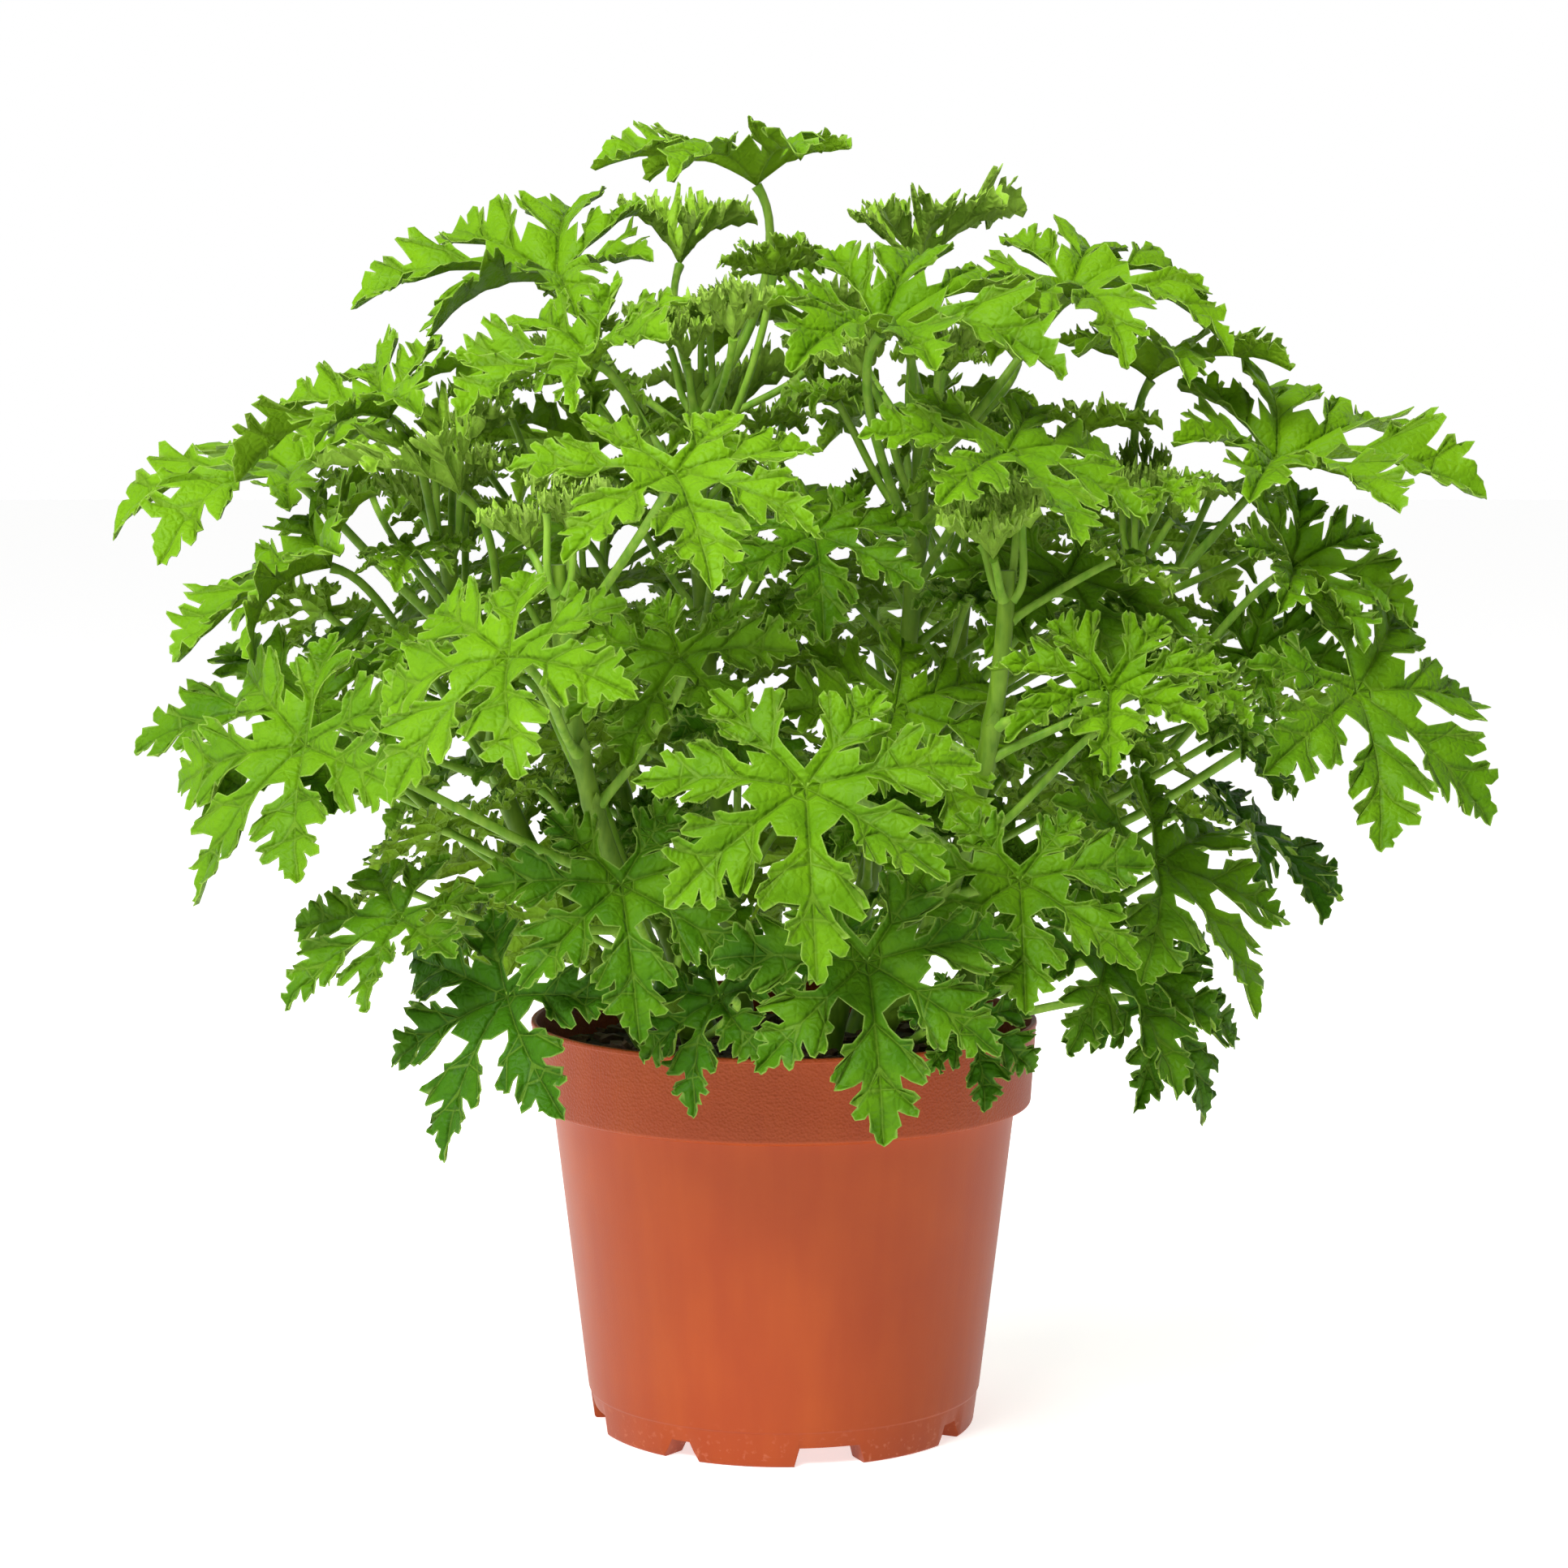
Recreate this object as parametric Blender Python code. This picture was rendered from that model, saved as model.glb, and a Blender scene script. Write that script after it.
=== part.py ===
"""Potted citronella geranium: a bushy scented geranium standing in its moulded nursery pot.

Frame: metres, +Z up, origin on the surface that the pot stands on, at the middle of the plant.
The front of the plant faces -Y.  A bearing of 0 points to the front, and +90 points to +X.
"""

import math
from collections import namedtuple

import bmesh
import bpy
from mathutils import Vector, noise
from mathutils.geometry import delaunay_2d_cdt

MM = 0.001
GAP = 0.4 * MM

# The pot: a 17 cm nursery pot with a deep rolled rim and a foot ring cut by drain notches.
RIM_RADIUS = 85.0 * MM
RIM_TOP = 137.0 * MM
RIM_DEPTH = 28.0 * MM
BODY_TOP_RADIUS = 77.8 * MM
BASE_RADIUS = 64.5 * MM
WALL = 1.8 * MM
FLOOR_UNDERSIDE = 7.0 * MM
FLOOR_THICKNESS = 1.8 * MM
FOOT_INNER_RADIUS = 54.0 * MM
POT_SEGMENTS = 48
NOTCH_HEIGHT = 6.2 * MM
NOTCH_DRAFT = 1.2
WIDE_NOTCH = (13.5, 20.0)
NARROW_NOTCH = (58.5, 10.0)
DRAIN_HOLE_RADIUS = 4.0 * MM
DRAIN_HOLE_REACH = 44.0 * MM

# The potting mix fills the pot to about a finger's width below its lip.
SOIL_TOP = 126.0 * MM
SOIL_SEGMENTS = 36
SOIL_ROUGHNESS = 1.6 * MM

# Green shoots: they rise from the mix, lean outward over the rim and then turn up.
SHOOT_ROOT = 112.0 * MM
SHOOT_BASE_RADIUS = 4.6 * MM
SHOOT_TIP_RADIUS = 2.6 * MM
SHOOT_SIDES = 8
SHOOT_RINGS = 9
SOCKET_CLEARANCE = 0.5 * MM

# Leaf blades: seven deep lobes round the point where the leaf stalk joins.
LOBE_ANGLES = (-142, -98, -50, 0, 50, 98, 142)
LOBE_LENGTHS = (0.68, 0.88, 0.92, 1.0, 0.92, 0.88, 0.68)
LOBE_HALF_WIDTHS = (0.15, 0.18, 0.19, 0.21, 0.19, 0.18, 0.15)
SHOULDER = 0.70
SINUS_REACH = 0.34
BASE_SINUS_REACH = 0.09
BLADE_THICKNESS = 1.0 * MM
STALK_RADIUS = 1.4 * MM
STALK_SIDES = 5
STALK_SEGMENTS = 6
PLEAT = 16

# How a lobe rises where it leaves the stalk, and how steeply its tip ends, in degrees.
FORMS = {
    "flat": (16, -30),
    "cup": (38, -30),
    "arch": (34, -52),
    "young": (62, 4),
}

Shoot = namedtuple("Shoot", "name bearing root_reach tip_reach tip_height")
SHOOTS = (
    Shoot("front_left", -36, 34, 118, 292),
    Shoot("front_right", 38, 36, 112, 290),
    Shoot("left", -88, 38, 112, 302),
    Shoot("right", 88, 38, 118, 300),
    Shoot("back_left", -142, 36, 112, 285),
    Shoot("back_right", 144, 36, 110, 290),
    Shoot("top_left", -75, 12, 30, 352),
    Shoot("top_right", 60, 14, 52, 345),
)

# Each leaf: the shoot it grows on and how far up, the place of its blade's base (bearing in
# degrees, reach from the pot's axis and height in millimetres), the bearing that its middle lobe
# points to, the dip of that lobe below level, the blade's roll about it, the middle lobe's
# length in millimetres and the blade's form.
Leaf = namedtuple("Leaf", "shoot node bearing reach height aim dip roll length form")
LEAVES = (
    Leaf("front_left", 0.42, -20, 142, 198, 15, 58, 10, 50, "flat"),
    Leaf("front_left", 0.30, -35, 146, 162, -45, 56, -5, 54, "flat"),
    Leaf("front_left", 0.48, -47, 160, 184, -75, 32, -20, 46, "flat"),
    Leaf("front_left", 0.58, -58, 174, 236, -75, 48, -30, 62, "flat"),
    Leaf("front_left", 0.78, -30, 162, 266, -60, 42, -15, 56, "flat"),
    Leaf("front_left", 0.70, -17, 108, 264, -30, 44, 0, 46, "flat"),
    Leaf("front_left", 0.20, -9, 124, 162, -30, 50, 15, 38, "flat"),
    Leaf("front_left", 0.92, -12, 152, 320, 15, 32, 5, 56, "flat"),
    Leaf("front_right", 0.62, 2, 176, 231, 5, 54, 5, 60, "flat"),
    Leaf("front_right", 0.38, 8, 172, 180, 12, 62, 8, 52, "flat"),
    Leaf("front_right", 0.50, 28, 150, 199, 0, 50, 0, 48, "flat"),
    Leaf("front_right", 0.28, 44, 142, 171, 45, 50, 0, 50, "flat"),
    Leaf("front_right", 0.55, 55, 142, 198, 56, 46, 5, 60, "flat"),
    Leaf("front_right", 0.82, 41, 150, 254, -5, 42, 0, 46, "cup"),
    Leaf("front_right", 0.76, 26, 80, 246, 45, 46, 5, 52, "flat"),
    Leaf("front_right", 0.18, 68, 128, 150, 80, 58, 35, 46, "flat"),
    Leaf("front_right", 0.16, 32, 109, 151, 25, 68, -5, 30, "flat"),
    Leaf("right", 0.58, 78, 189, 249, 85, 42, 40, 64, "flat"),
    Leaf("right", 0.76, 83, 167, 288, 95, 25, 35, 48, "cup"),
    Leaf("right", 0.92, 86, 162, 320, 85, 14, 20, 70, "cup"),
    Leaf("right", 0.97, 92, 122, 350, 60, 5, 0, 54, "cup"),
    Leaf("right", 0.62, 91, 156, 257, 60, 12, 35, 38, "cup"),
    Leaf("right", 0.34, 105, 165, 196, 110, 32, 20, 50, "flat"),
    Leaf("right", 0.46, 112, 160, 232, 105, 35, 20, 46, "flat"),
    Leaf("left", 0.96, -72, 133, 337, -80, 24, -10, 54, "cup"),
    Leaf("left", 0.78, -79, 150, 289, -85, 44, -10, 62, "cup"),
    Leaf("left", 0.88, -100, 168, 316, -95, 10, -15, 74, "arch"),
    Leaf("left", 0.72, -58, 120, 313, -90, 25, -15, 46, "young"),
    Leaf("left", 0.30, -103, 98, 182, -100, 62, -10, 44, "flat"),
    Leaf("left", 0.50, -74, 156, 244, -92, 8, -35, 62, "flat"),
    Leaf("top_left", 0.98, -40, 14, 413, -80, 2, 0, 58, "cup"),
    Leaf("top_left", 0.90, -105, 79, 381, -90, 10, -22, 72, "cup"),
    Leaf("top_left", 0.82, -40, 91, 354, -60, 32, -8, 54, "cup"),
    Leaf("top_left", 0.60, -85, 70, 300, -60, 32, 0, 48, "flat"),
    Leaf("top_left", 0.72, 175, 74, 369, 175, 10, 0, 58, "arch"),
    Leaf("top_right", 0.94, 83, 94, 377, 70, 12, 20, 64, "arch"),
    Leaf("top_right", 0.86, 22, 80, 363, 70, 14, 22, 64, "cup"),
    Leaf("top_right", 0.82, 36, 116, 326, 25, 30, -5, 56, "flat"),
    Leaf("top_right", 0.62, 61, 103, 286, 20, 36, 0, 54, "flat"),
    Leaf("top_right", 0.98, 140, 72, 385, 110, 0, 0, 48, "young"),
    Leaf("top_right", 0.54, 9, 63, 300, 5, 38, 0, 44, "flat"),
    Leaf("back_left", 0.92, -150, 138, 325, -145, 15, 0, 60, "cup"),
    Leaf("back_left", 0.66, -135, 158, 262, -130, 30, 5, 58, "flat"),
    Leaf("back_left", 0.50, -162, 168, 225, -165, 38, 0, 54, "flat"),
    Leaf("back_left", 0.30, -140, 145, 175, -140, 50, 0, 52, "flat"),
    Leaf("back_right", 0.94, 160, 132, 334, 165, 12, 0, 60, "cup"),
    Leaf("back_right", 0.78, 128, 158, 292, 125, 20, 0, 60, "arch"),
    Leaf("back_right", 0.62, 168, 164, 268, 172, 25, 0, 56, "flat"),
    Leaf("back_right", 0.46, 145, 155, 215, 145, 42, 0, 54, "flat"),
    Leaf("back_right", 0.28, 172, 142, 172, 175, 52, 0, 50, "flat"),
)


def clear_scene():
    """Empties the startup scene."""
    for obj in list(bpy.data.objects):
        bpy.data.objects.remove(obj, do_unlink=True)


def finish(name, red, green, blue, roughness):
    """A plain finish: an opaque, non-metallic Principled material."""
    material = bpy.data.materials.new(name)
    material.use_nodes = True
    shader = material.node_tree.nodes["Principled BSDF"]
    shader.inputs["Base Color"].default_value = (red, green, blue, 1.0)
    shader.inputs["Roughness"].default_value = roughness
    return material


def object_from(name, work_mesh, material):
    """Links an object made from a bmesh, with its faces turned outward."""
    bmesh.ops.recalc_face_normals(work_mesh, faces=work_mesh.faces)
    mesh = bpy.data.meshes.new(name)
    work_mesh.to_mesh(mesh)
    work_mesh.free()
    obj = bpy.data.objects.new(name, mesh)
    obj.data.materials.append(material)
    bpy.context.scene.collection.objects.link(obj)
    return obj


def cut(obj, cutter):
    """Takes the cutter's shape out of the object."""
    cutter.hide_render = True
    cutter.display_type = "WIRE"
    modifier = obj.modifiers.new(cutter.name, "BOOLEAN")
    modifier.operation = "DIFFERENCE"
    modifier.solver = "EXACT"
    modifier.object = cutter


def heading(bearing):
    """The level unit vector at a bearing in degrees."""
    angle = math.radians(bearing)
    return Vector((math.sin(angle), -math.cos(angle), 0.0))


def turned(profile, segments):
    """A solid of revolution from (radius, height) points; both end points lie on the axis."""
    shape = bmesh.new()
    rings = []
    for radius, height in profile[1:-1]:
        ring = []
        for step in range(segments):
            ring.append(shape.verts.new(heading(360 * step / segments) * radius + Vector((0, 0, height))))
        rings.append(ring)
    for upper, lower in zip(rings, rings[1:]):
        for step in range(segments):
            after = (step + 1) % segments
            shape.faces.new((upper[step], upper[after], lower[after], lower[step]))
    for (_, height), ring in ((profile[0], rings[0]), (profile[-1], rings[-1])):
        pole = shape.verts.new((0, 0, height))
        for step in range(segments):
            shape.faces.new((pole, ring[step], ring[(step + 1) % segments]))
    return shape


def body_radius(height):
    """The pot's outer radius below its rim band."""
    share = height / (RIM_TOP - RIM_DEPTH)
    return BASE_RADIUS + (BODY_TOP_RADIUS - BASE_RADIUS) * share


def pot_profile():
    """The pot's section, from the underside of its floor, up its outside and down its inside."""
    band_bottom = RIM_TOP - RIM_DEPTH
    floor_top = FLOOR_UNDERSIDE + FLOOR_THICKNESS
    return (
        (0, FLOOR_UNDERSIDE),
        (FOOT_INNER_RADIUS, FLOOR_UNDERSIDE),
        (FOOT_INNER_RADIUS + 0.4 * MM, 0),
        (BASE_RADIUS, 0),
        (BODY_TOP_RADIUS, band_bottom),
        (RIM_RADIUS - 2.2 * MM, band_bottom + 0.6 * MM),
        (RIM_RADIUS, RIM_TOP - 2.0 * MM),
        (RIM_RADIUS - 0.6 * MM, RIM_TOP),
        (RIM_RADIUS - WALL, RIM_TOP),
        (RIM_RADIUS - 2.2 * MM - WALL, band_bottom + 1.5 * MM),
        (BODY_TOP_RADIUS - WALL, band_bottom - 2.0 * MM),
        (body_radius(floor_top) - WALL, floor_top),
        (0, floor_top),
    )


def notch_cutter(name, bearing, width):
    """A drafted wedge that opens one drain notch through the foot ring."""
    shape = bmesh.new()
    levels = []
    for height, narrowing in ((-2.0 * MM, 0.0), (NOTCH_HEIGHT, NOTCH_DRAFT)):
        half = width / 2 - narrowing
        corners = []
        for reach in (FOOT_INNER_RADIUS - 6 * MM, BASE_RADIUS + 6 * MM):
            for side in (-half, half):
                corners.append(shape.verts.new(heading(bearing + side) * reach + Vector((0, 0, height))))
        levels.append(corners)
    low, high = levels
    for level in levels:
        shape.faces.new((level[0], level[1], level[3], level[2]))
    for first, second in ((0, 1), (1, 3), (3, 2), (2, 0)):
        shape.faces.new((low[first], low[second], high[second], high[first]))
    return object_from(name, shape, PLASTIC)


def hole_cutter(name, bearing):
    """A round drain hole through the pot's floor."""
    shape = bmesh.new()
    bmesh.ops.create_cone(
        shape,
        cap_ends=True,
        segments=12,
        radius1=DRAIN_HOLE_RADIUS,
        radius2=DRAIN_HOLE_RADIUS,
        depth=4 * FLOOR_THICKNESS,
    )
    centre = heading(bearing) * DRAIN_HOLE_REACH + Vector((0, 0, FLOOR_UNDERSIDE + FLOOR_THICKNESS / 2))
    bmesh.ops.translate(shape, verts=shape.verts, vec=centre)
    return object_from(name, shape, PLASTIC)


def make_pot():
    """The moulded pot, with eight drain notches and four drain holes."""
    pot = object_from("pot", turned(pot_profile(), POT_SEGMENTS), PLASTIC)
    for quarter in range(4):
        for kind, (bearing, width) in (("wide", WIDE_NOTCH), ("narrow", NARROW_NOTCH)):
            cut(pot, notch_cutter(f"{kind}_notch_{quarter + 1}", bearing + 90 * quarter, width))
        cut(pot, hole_cutter(f"drain_hole_{quarter + 1}", 45 + 90 * quarter))
    return pot


def tube(path, radii, sides, last_plane=None):
    """Rings of vertices round a path, as plain positions; last_plane turns the last ring flat to it."""
    rings = []
    side = None
    for place, point in enumerate(path):
        before = path[max(place - 1, 0)]
        after = path[min(place + 1, len(path) - 1)]
        along = (after - before).normalized()
        if last_plane is not None and place == len(path) - 1:
            along = last_plane
        if side is None:
            side = along.cross(Vector((0.31, 0.17, 0.93)))
        side = (side - along * side.dot(along)).normalized()
        across = along.cross(side)
        ring = []
        for step in range(sides):
            turn = 2 * math.pi * step / sides
            ring.append(point + (side * math.cos(turn) + across * math.sin(turn)) * radii[place])
        rings.append(ring)
    return rings


def skin(shape, rings):
    """Joins rings of vertices with quads."""
    for lower, upper in zip(rings, rings[1:]):
        for step in range(len(lower)):
            after = (step + 1) % len(lower)
            shape.faces.new((lower[step], lower[after], upper[after], upper[step]))


def bezier(points, share):
    """A point of a Bezier curve through its control points."""
    while len(points) > 1:
        points = [first.lerp(second, share) for first, second in zip(points, points[1:])]
    return points[0]


def shoot_controls(shoot):
    """The shoot's control points: out of the mix, outward over the rim, then up to its tip."""
    root = heading(shoot.bearing) * shoot.root_reach * MM
    tip = heading(shoot.bearing) * shoot.tip_reach * MM
    rise = shoot.tip_height * MM - SHOOT_ROOT
    return [
        root + Vector((0, 0, SHOOT_ROOT)),
        root.lerp(tip, 0.22) + Vector((0, 0, SHOOT_ROOT + 0.22 * rise)),
        root.lerp(tip, 0.95) + Vector((0, 0, SHOOT_ROOT + 0.45 * rise)),
        tip + Vector((0, 0, shoot.tip_height * MM)),
    ]


def shoot_radius(share):
    """The shoot's radius, tapering toward its tip."""
    return SHOOT_BASE_RADIUS + (SHOOT_TIP_RADIUS - SHOOT_BASE_RADIUS) * share


def shoot_shape(shoot, clearance=0.0):
    """The shoot as a closed tube with a blunt, rounded tip."""
    shares = [step / (SHOOT_RINGS - 1) for step in range(SHOOT_RINGS)]
    path = [bezier(shoot_controls(shoot), share) for share in shares]
    radii = [shoot_radius(share) + clearance for share in shares]
    along = (path[-1] - path[-2]).normalized()
    path.append(path[-1] + along * radii[-1] * 0.8)
    radii.append(radii[-1] * 0.55)
    if clearance:
        path[0] = path[0] - (path[1] - path[0]).normalized() * clearance
    shape = bmesh.new()
    rings = [[shape.verts.new(place) for place in ring] for ring in tube(path, radii, SHOOT_SIDES)]
    skin(shape, rings)
    shape.faces.new(rings[0])
    shape.faces.new(rings[-1])
    return shape


def make_potting_mix():
    """The root ball's mix: it fills the pot, is rough on top and is pierced by the shoots."""
    floor_top = FLOOR_UNDERSIDE + FLOOR_THICKNESS + GAP
    top_radius = body_radius(SOIL_TOP) - WALL - GAP
    band_bottom = RIM_TOP - RIM_DEPTH
    profile = [
        (0, floor_top),
        (body_radius(floor_top) - WALL - 2.4 * MM - GAP, floor_top),
        (body_radius(floor_top) - WALL - GAP, floor_top + 2.4 * MM),
        (BODY_TOP_RADIUS - WALL - GAP, band_bottom - 2.0 * MM),
        (top_radius - 1.0 * MM, SOIL_TOP - 2.0 * MM),
    ]
    for share in (0.8, 0.6, 0.4, 0.2):
        profile.append((top_radius * share, SOIL_TOP))
    profile.append((0, SOIL_TOP))
    shape = turned(profile, SOIL_SEGMENTS)
    for vertex in shape.verts:
        if vertex.co.z > SOIL_TOP - 1 * MM:
            vertex.co.z += SOIL_ROUGHNESS * noise.noise(vertex.co * 60)
    mix = object_from("potting_mix", shape, MIX)
    for shoot in SHOOTS:
        socket = object_from("socket_" + shoot.name, shoot_shape(shoot, SOCKET_CLEARANCE), MIX)
        cut(mix, socket)
    return mix


def make_shoots():
    """One green shoot for each row of the plan."""
    for shoot in SHOOTS:
        object_from("shoot_" + shoot.name, shoot_shape(shoot), STEM)


def leaf_axes(leaf):
    """The blade's own axes: along the middle lobe, to its right and out of its upper face."""
    level = heading(leaf.aim)
    dip = math.radians(leaf.dip)
    roll = math.radians(leaf.roll)
    up = Vector((0, 0, 1))
    along = level * math.cos(dip) - up * math.sin(dip)
    normal = level * math.sin(dip) + up * math.cos(dip)
    right = along.cross(normal)
    normal = normal * math.cos(roll) + right * math.sin(roll)
    return along, along.cross(normal), normal


def leaf_base(leaf):
    """Where the stalk meets the blade."""
    return heading(leaf.bearing) * leaf.reach * MM + Vector((0, 0, leaf.height * MM))


def blade_outline(length):
    """The lobed outline in the blade's plane, x to the right and y along the middle lobe."""
    points = [polar(180, BASE_SINUS_REACH * length)]
    for place, angle in enumerate(LOBE_ANGLES):
        reach = LOBE_LENGTHS[place] * length
        spread = math.degrees(math.atan2(LOBE_HALF_WIDTHS[place] * length, SHOULDER * reach))
        shoulder = math.hypot(LOBE_HALF_WIDTHS[place] * length, SHOULDER * reach)
        points.append(polar(angle - spread, shoulder))
        points.append(polar(angle, reach))
        points.append(polar(angle + spread, shoulder))
        if place < len(LOBE_ANGLES) - 1:
            middle = (angle + LOBE_ANGLES[place + 1]) / 2
            points.append(polar(middle, SINUS_REACH * length))
    return points


def polar(angle, reach):
    """A point of the blade's plane, at an angle in degrees from the middle lobe."""
    turn = math.radians(angle)
    return Vector((reach * math.sin(turn), reach * math.cos(turn)))


def pleat_height(point):
    """How far the pleats between the lobes' midribs stand above the midribs."""
    nearest = point.length
    for angle in LOBE_ANGLES:
        axis = polar(angle, 1.0)
        if point.dot(axis) > 0:
            nearest = min(nearest, abs(point.x * axis.y - point.y * axis.x))
    return nearest * math.tan(math.radians(PLEAT))


def shaped(leaf, axes, point):
    """A point of the flat outline, moved to its place on the curved blade."""
    along, right, normal = axes
    length = leaf.length * MM
    lift, droop = (math.radians(angle) for angle in FORMS[leaf.form])
    reach = point.length
    bend = (droop - lift) / length
    level = (math.sin(lift + bend * reach) - math.sin(lift)) / bend
    rise = (math.cos(lift) - math.cos(lift + bend * reach)) / bend
    direction = point.normalized() if reach > 0 else Vector((0, 1))
    outward = right * direction.x + along * direction.y
    return leaf_base(leaf) + outward * level + normal * (rise + pleat_height(point))


def stalk_path(leaf, axes):
    """The leaf stalk's centre line, from the blade down to its shoot, and the shoot's side there."""
    shoot = next(row for row in SHOOTS if row.name == leaf.shoot)
    controls = shoot_controls(shoot)
    base = leaf_base(leaf)
    node = bezier(controls, leaf.node)
    grow = (bezier(controls, min(leaf.node + 0.02, 1)) - bezier(controls, leaf.node - 0.02)).normalized()
    away = base - node
    away = (away - grow * away.dot(grow)).normalized()
    end = node + away * (shoot_radius(leaf.node) + GAP)
    along, _, normal = axes
    entry = (along * 0.6 + normal * 0.8).normalized()
    span = (base - end).length
    controls = [
        base - normal * BLADE_THICKNESS,
        base - entry * min(0.26 * span, 20 * MM),
        end + (away * 0.7 + grow * 0.5).normalized() * 0.3 * span,
        end,
    ]
    shares = [0.0, 0.12] + [step / STALK_SEGMENTS for step in range(1, STALK_SEGMENTS + 1)]
    shares.remove(1 / STALK_SEGMENTS)
    shares.insert(2, 0.27)
    return [bezier(controls, share) for share in shares], -away


def leaf_shape(leaf, thickness=BLADE_THICKNESS, stalk_radius=STALK_RADIUS):
    """The leaf as one closed solid: a pleated, curved blade grown together with its stalk."""
    axes = leaf_axes(leaf)
    outline = blade_outline(leaf.length * MM)
    seat = [polar(360 * step / STALK_SIDES, stalk_radius) for step in range(STALK_SIDES)]
    midribs = []
    for place, angle in enumerate(LOBE_ANGLES):
        midribs.append(polar(angle, 0.52 * LOBE_LENGTHS[place] * leaf.length * MM))
    flat = outline + seat + midribs
    rim = list(range(len(outline)))
    seat_ids = list(range(len(outline), len(outline) + STALK_SIDES))
    seat_edges = list(zip(seat_ids, seat_ids[1:] + seat_ids[:1]))
    points, _, faces, _, _, _ = delaunay_2d_cdt(flat, seat_edges, [rim], 1, 1e-7)
    shape = bmesh.new()
    below = axes[2] * thickness
    top = []
    bottom = []
    for point in points:
        place = shaped(leaf, axes, point)
        top.append(shape.verts.new(place))
        bottom.append(shape.verts.new(place - below))
    for face in faces:
        shape.faces.new([top[index] for index in face])
        if not set(face) <= set(seat_ids):
            shape.faces.new([bottom[index] for index in reversed(face)])
    for index in rim:
        after = (index + 1) % len(rim)
        shape.faces.new((top[index], top[after], bottom[after], bottom[index]))
    path, last_plane = stalk_path(leaf, axes)
    rings = tube(path, [stalk_radius] * len(path), STALK_SIDES, last_plane)
    seat_ring = [bottom[index] for index in seat_ids]
    stalk = [seat_ring]
    for ring in rings[1:]:
        stalk.append(matched([shape.verts.new(place) for place in ring], stalk[-1]))
    skin(shape, stalk)
    shape.faces.new(stalk[-1])
    return shape


def matched(ring, before):
    """The ring's vertices in the order that lies nearest the ring before, so a tube never twists."""
    count = len(ring)
    orders = []
    for direction in (1, -1):
        for start in range(count):
            orders.append([ring[(start + direction * step) % count] for step in range(count)])
    return min(orders, key=lambda order: sum((a.co - b.co).length for a, b in zip(order, before)))


def leaf_names():
    """A name for each leaf: its shoot, and its number on that shoot."""
    names = []
    counts = {}
    for leaf in LEAVES:
        counts[leaf.shoot] = counts.get(leaf.shoot, 0) + 1
        names.append(f"leaf_{leaf.shoot}_{counts[leaf.shoot]}")
    return names


def make_leaves():
    """One leaf for each row of the plan."""
    for name, leaf in zip(leaf_names(), LEAVES):
        object_from(name, leaf_shape(leaf), YOUNG_LEAF if leaf.form == "young" else LEAF)


clear_scene()
PLASTIC = finish("terracotta_plastic", 0.50, 0.17, 0.07, 0.45)
MIX = finish("potting_mix", 0.035, 0.022, 0.015, 0.95)
STEM = finish("green_stem", 0.20, 0.36, 0.07, 0.55)
LEAF = finish("leaf_green", 0.10, 0.28, 0.03, 0.60)
YOUNG_LEAF = finish("young_leaf_green", 0.20, 0.42, 0.06, 0.60)
make_pot()
make_potting_mix()
make_shoots()
make_leaves()
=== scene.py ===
"""The finished look of a potted citronella geranium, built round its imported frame."""

import math
from collections import namedtuple

import bpy
import numpy as np
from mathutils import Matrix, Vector, noise
from mathutils.geometry import delaunay_2d_cdt


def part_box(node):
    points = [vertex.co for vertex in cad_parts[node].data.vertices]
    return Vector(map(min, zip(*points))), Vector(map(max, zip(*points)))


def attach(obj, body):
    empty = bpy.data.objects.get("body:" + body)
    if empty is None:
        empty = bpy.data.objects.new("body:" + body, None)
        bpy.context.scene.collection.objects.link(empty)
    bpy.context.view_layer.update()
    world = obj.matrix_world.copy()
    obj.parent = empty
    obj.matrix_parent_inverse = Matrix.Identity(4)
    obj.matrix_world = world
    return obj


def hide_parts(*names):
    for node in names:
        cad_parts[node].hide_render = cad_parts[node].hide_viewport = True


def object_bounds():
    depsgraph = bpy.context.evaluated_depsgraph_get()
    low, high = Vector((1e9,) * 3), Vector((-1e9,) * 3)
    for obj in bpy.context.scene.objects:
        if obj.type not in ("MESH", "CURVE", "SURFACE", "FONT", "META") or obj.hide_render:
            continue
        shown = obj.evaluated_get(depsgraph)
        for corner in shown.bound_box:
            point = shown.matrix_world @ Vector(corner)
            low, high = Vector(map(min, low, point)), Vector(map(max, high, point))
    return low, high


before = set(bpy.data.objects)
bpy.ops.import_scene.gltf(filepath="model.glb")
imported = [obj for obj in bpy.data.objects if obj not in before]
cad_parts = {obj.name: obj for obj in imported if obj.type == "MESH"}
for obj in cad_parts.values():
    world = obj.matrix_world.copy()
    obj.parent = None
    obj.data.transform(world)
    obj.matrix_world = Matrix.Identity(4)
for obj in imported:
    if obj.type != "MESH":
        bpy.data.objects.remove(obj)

MM = 0.001
cad_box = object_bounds()


# ---- Nursery pot ----------------------------------------------------------------------------
# One injection-moulded polypropylene pot with a deep rim band, a step under it, a thin raised
# lip and a foot ring cut by drain notches.  It stands on that ring and holds everything else.

POT_LOW, POT_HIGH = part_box("pot")
RIM_RADIUS = (POT_HIGH[0] - POT_LOW[0]) / 2
RIM_TOP = POT_HIGH[2]
BAND_BOTTOM = RIM_TOP - 28 * MM
BODY_TOP_RADIUS = RIM_RADIUS - 7.2 * MM
BASE_RADIUS = RIM_RADIUS - 20.5 * MM
WALL = 1.8 * MM
FOOT_INNER_RADIUS = 54 * MM
FLOOR_UNDERSIDE = 7 * MM
FLOOR_TOP = 8.8 * MM
POT_COLUMNS = 240
NOTCH_TOP = 6.4 * MM
NOTCHES = ((13.5, 20.0), (58.5, 10.0))


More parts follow.
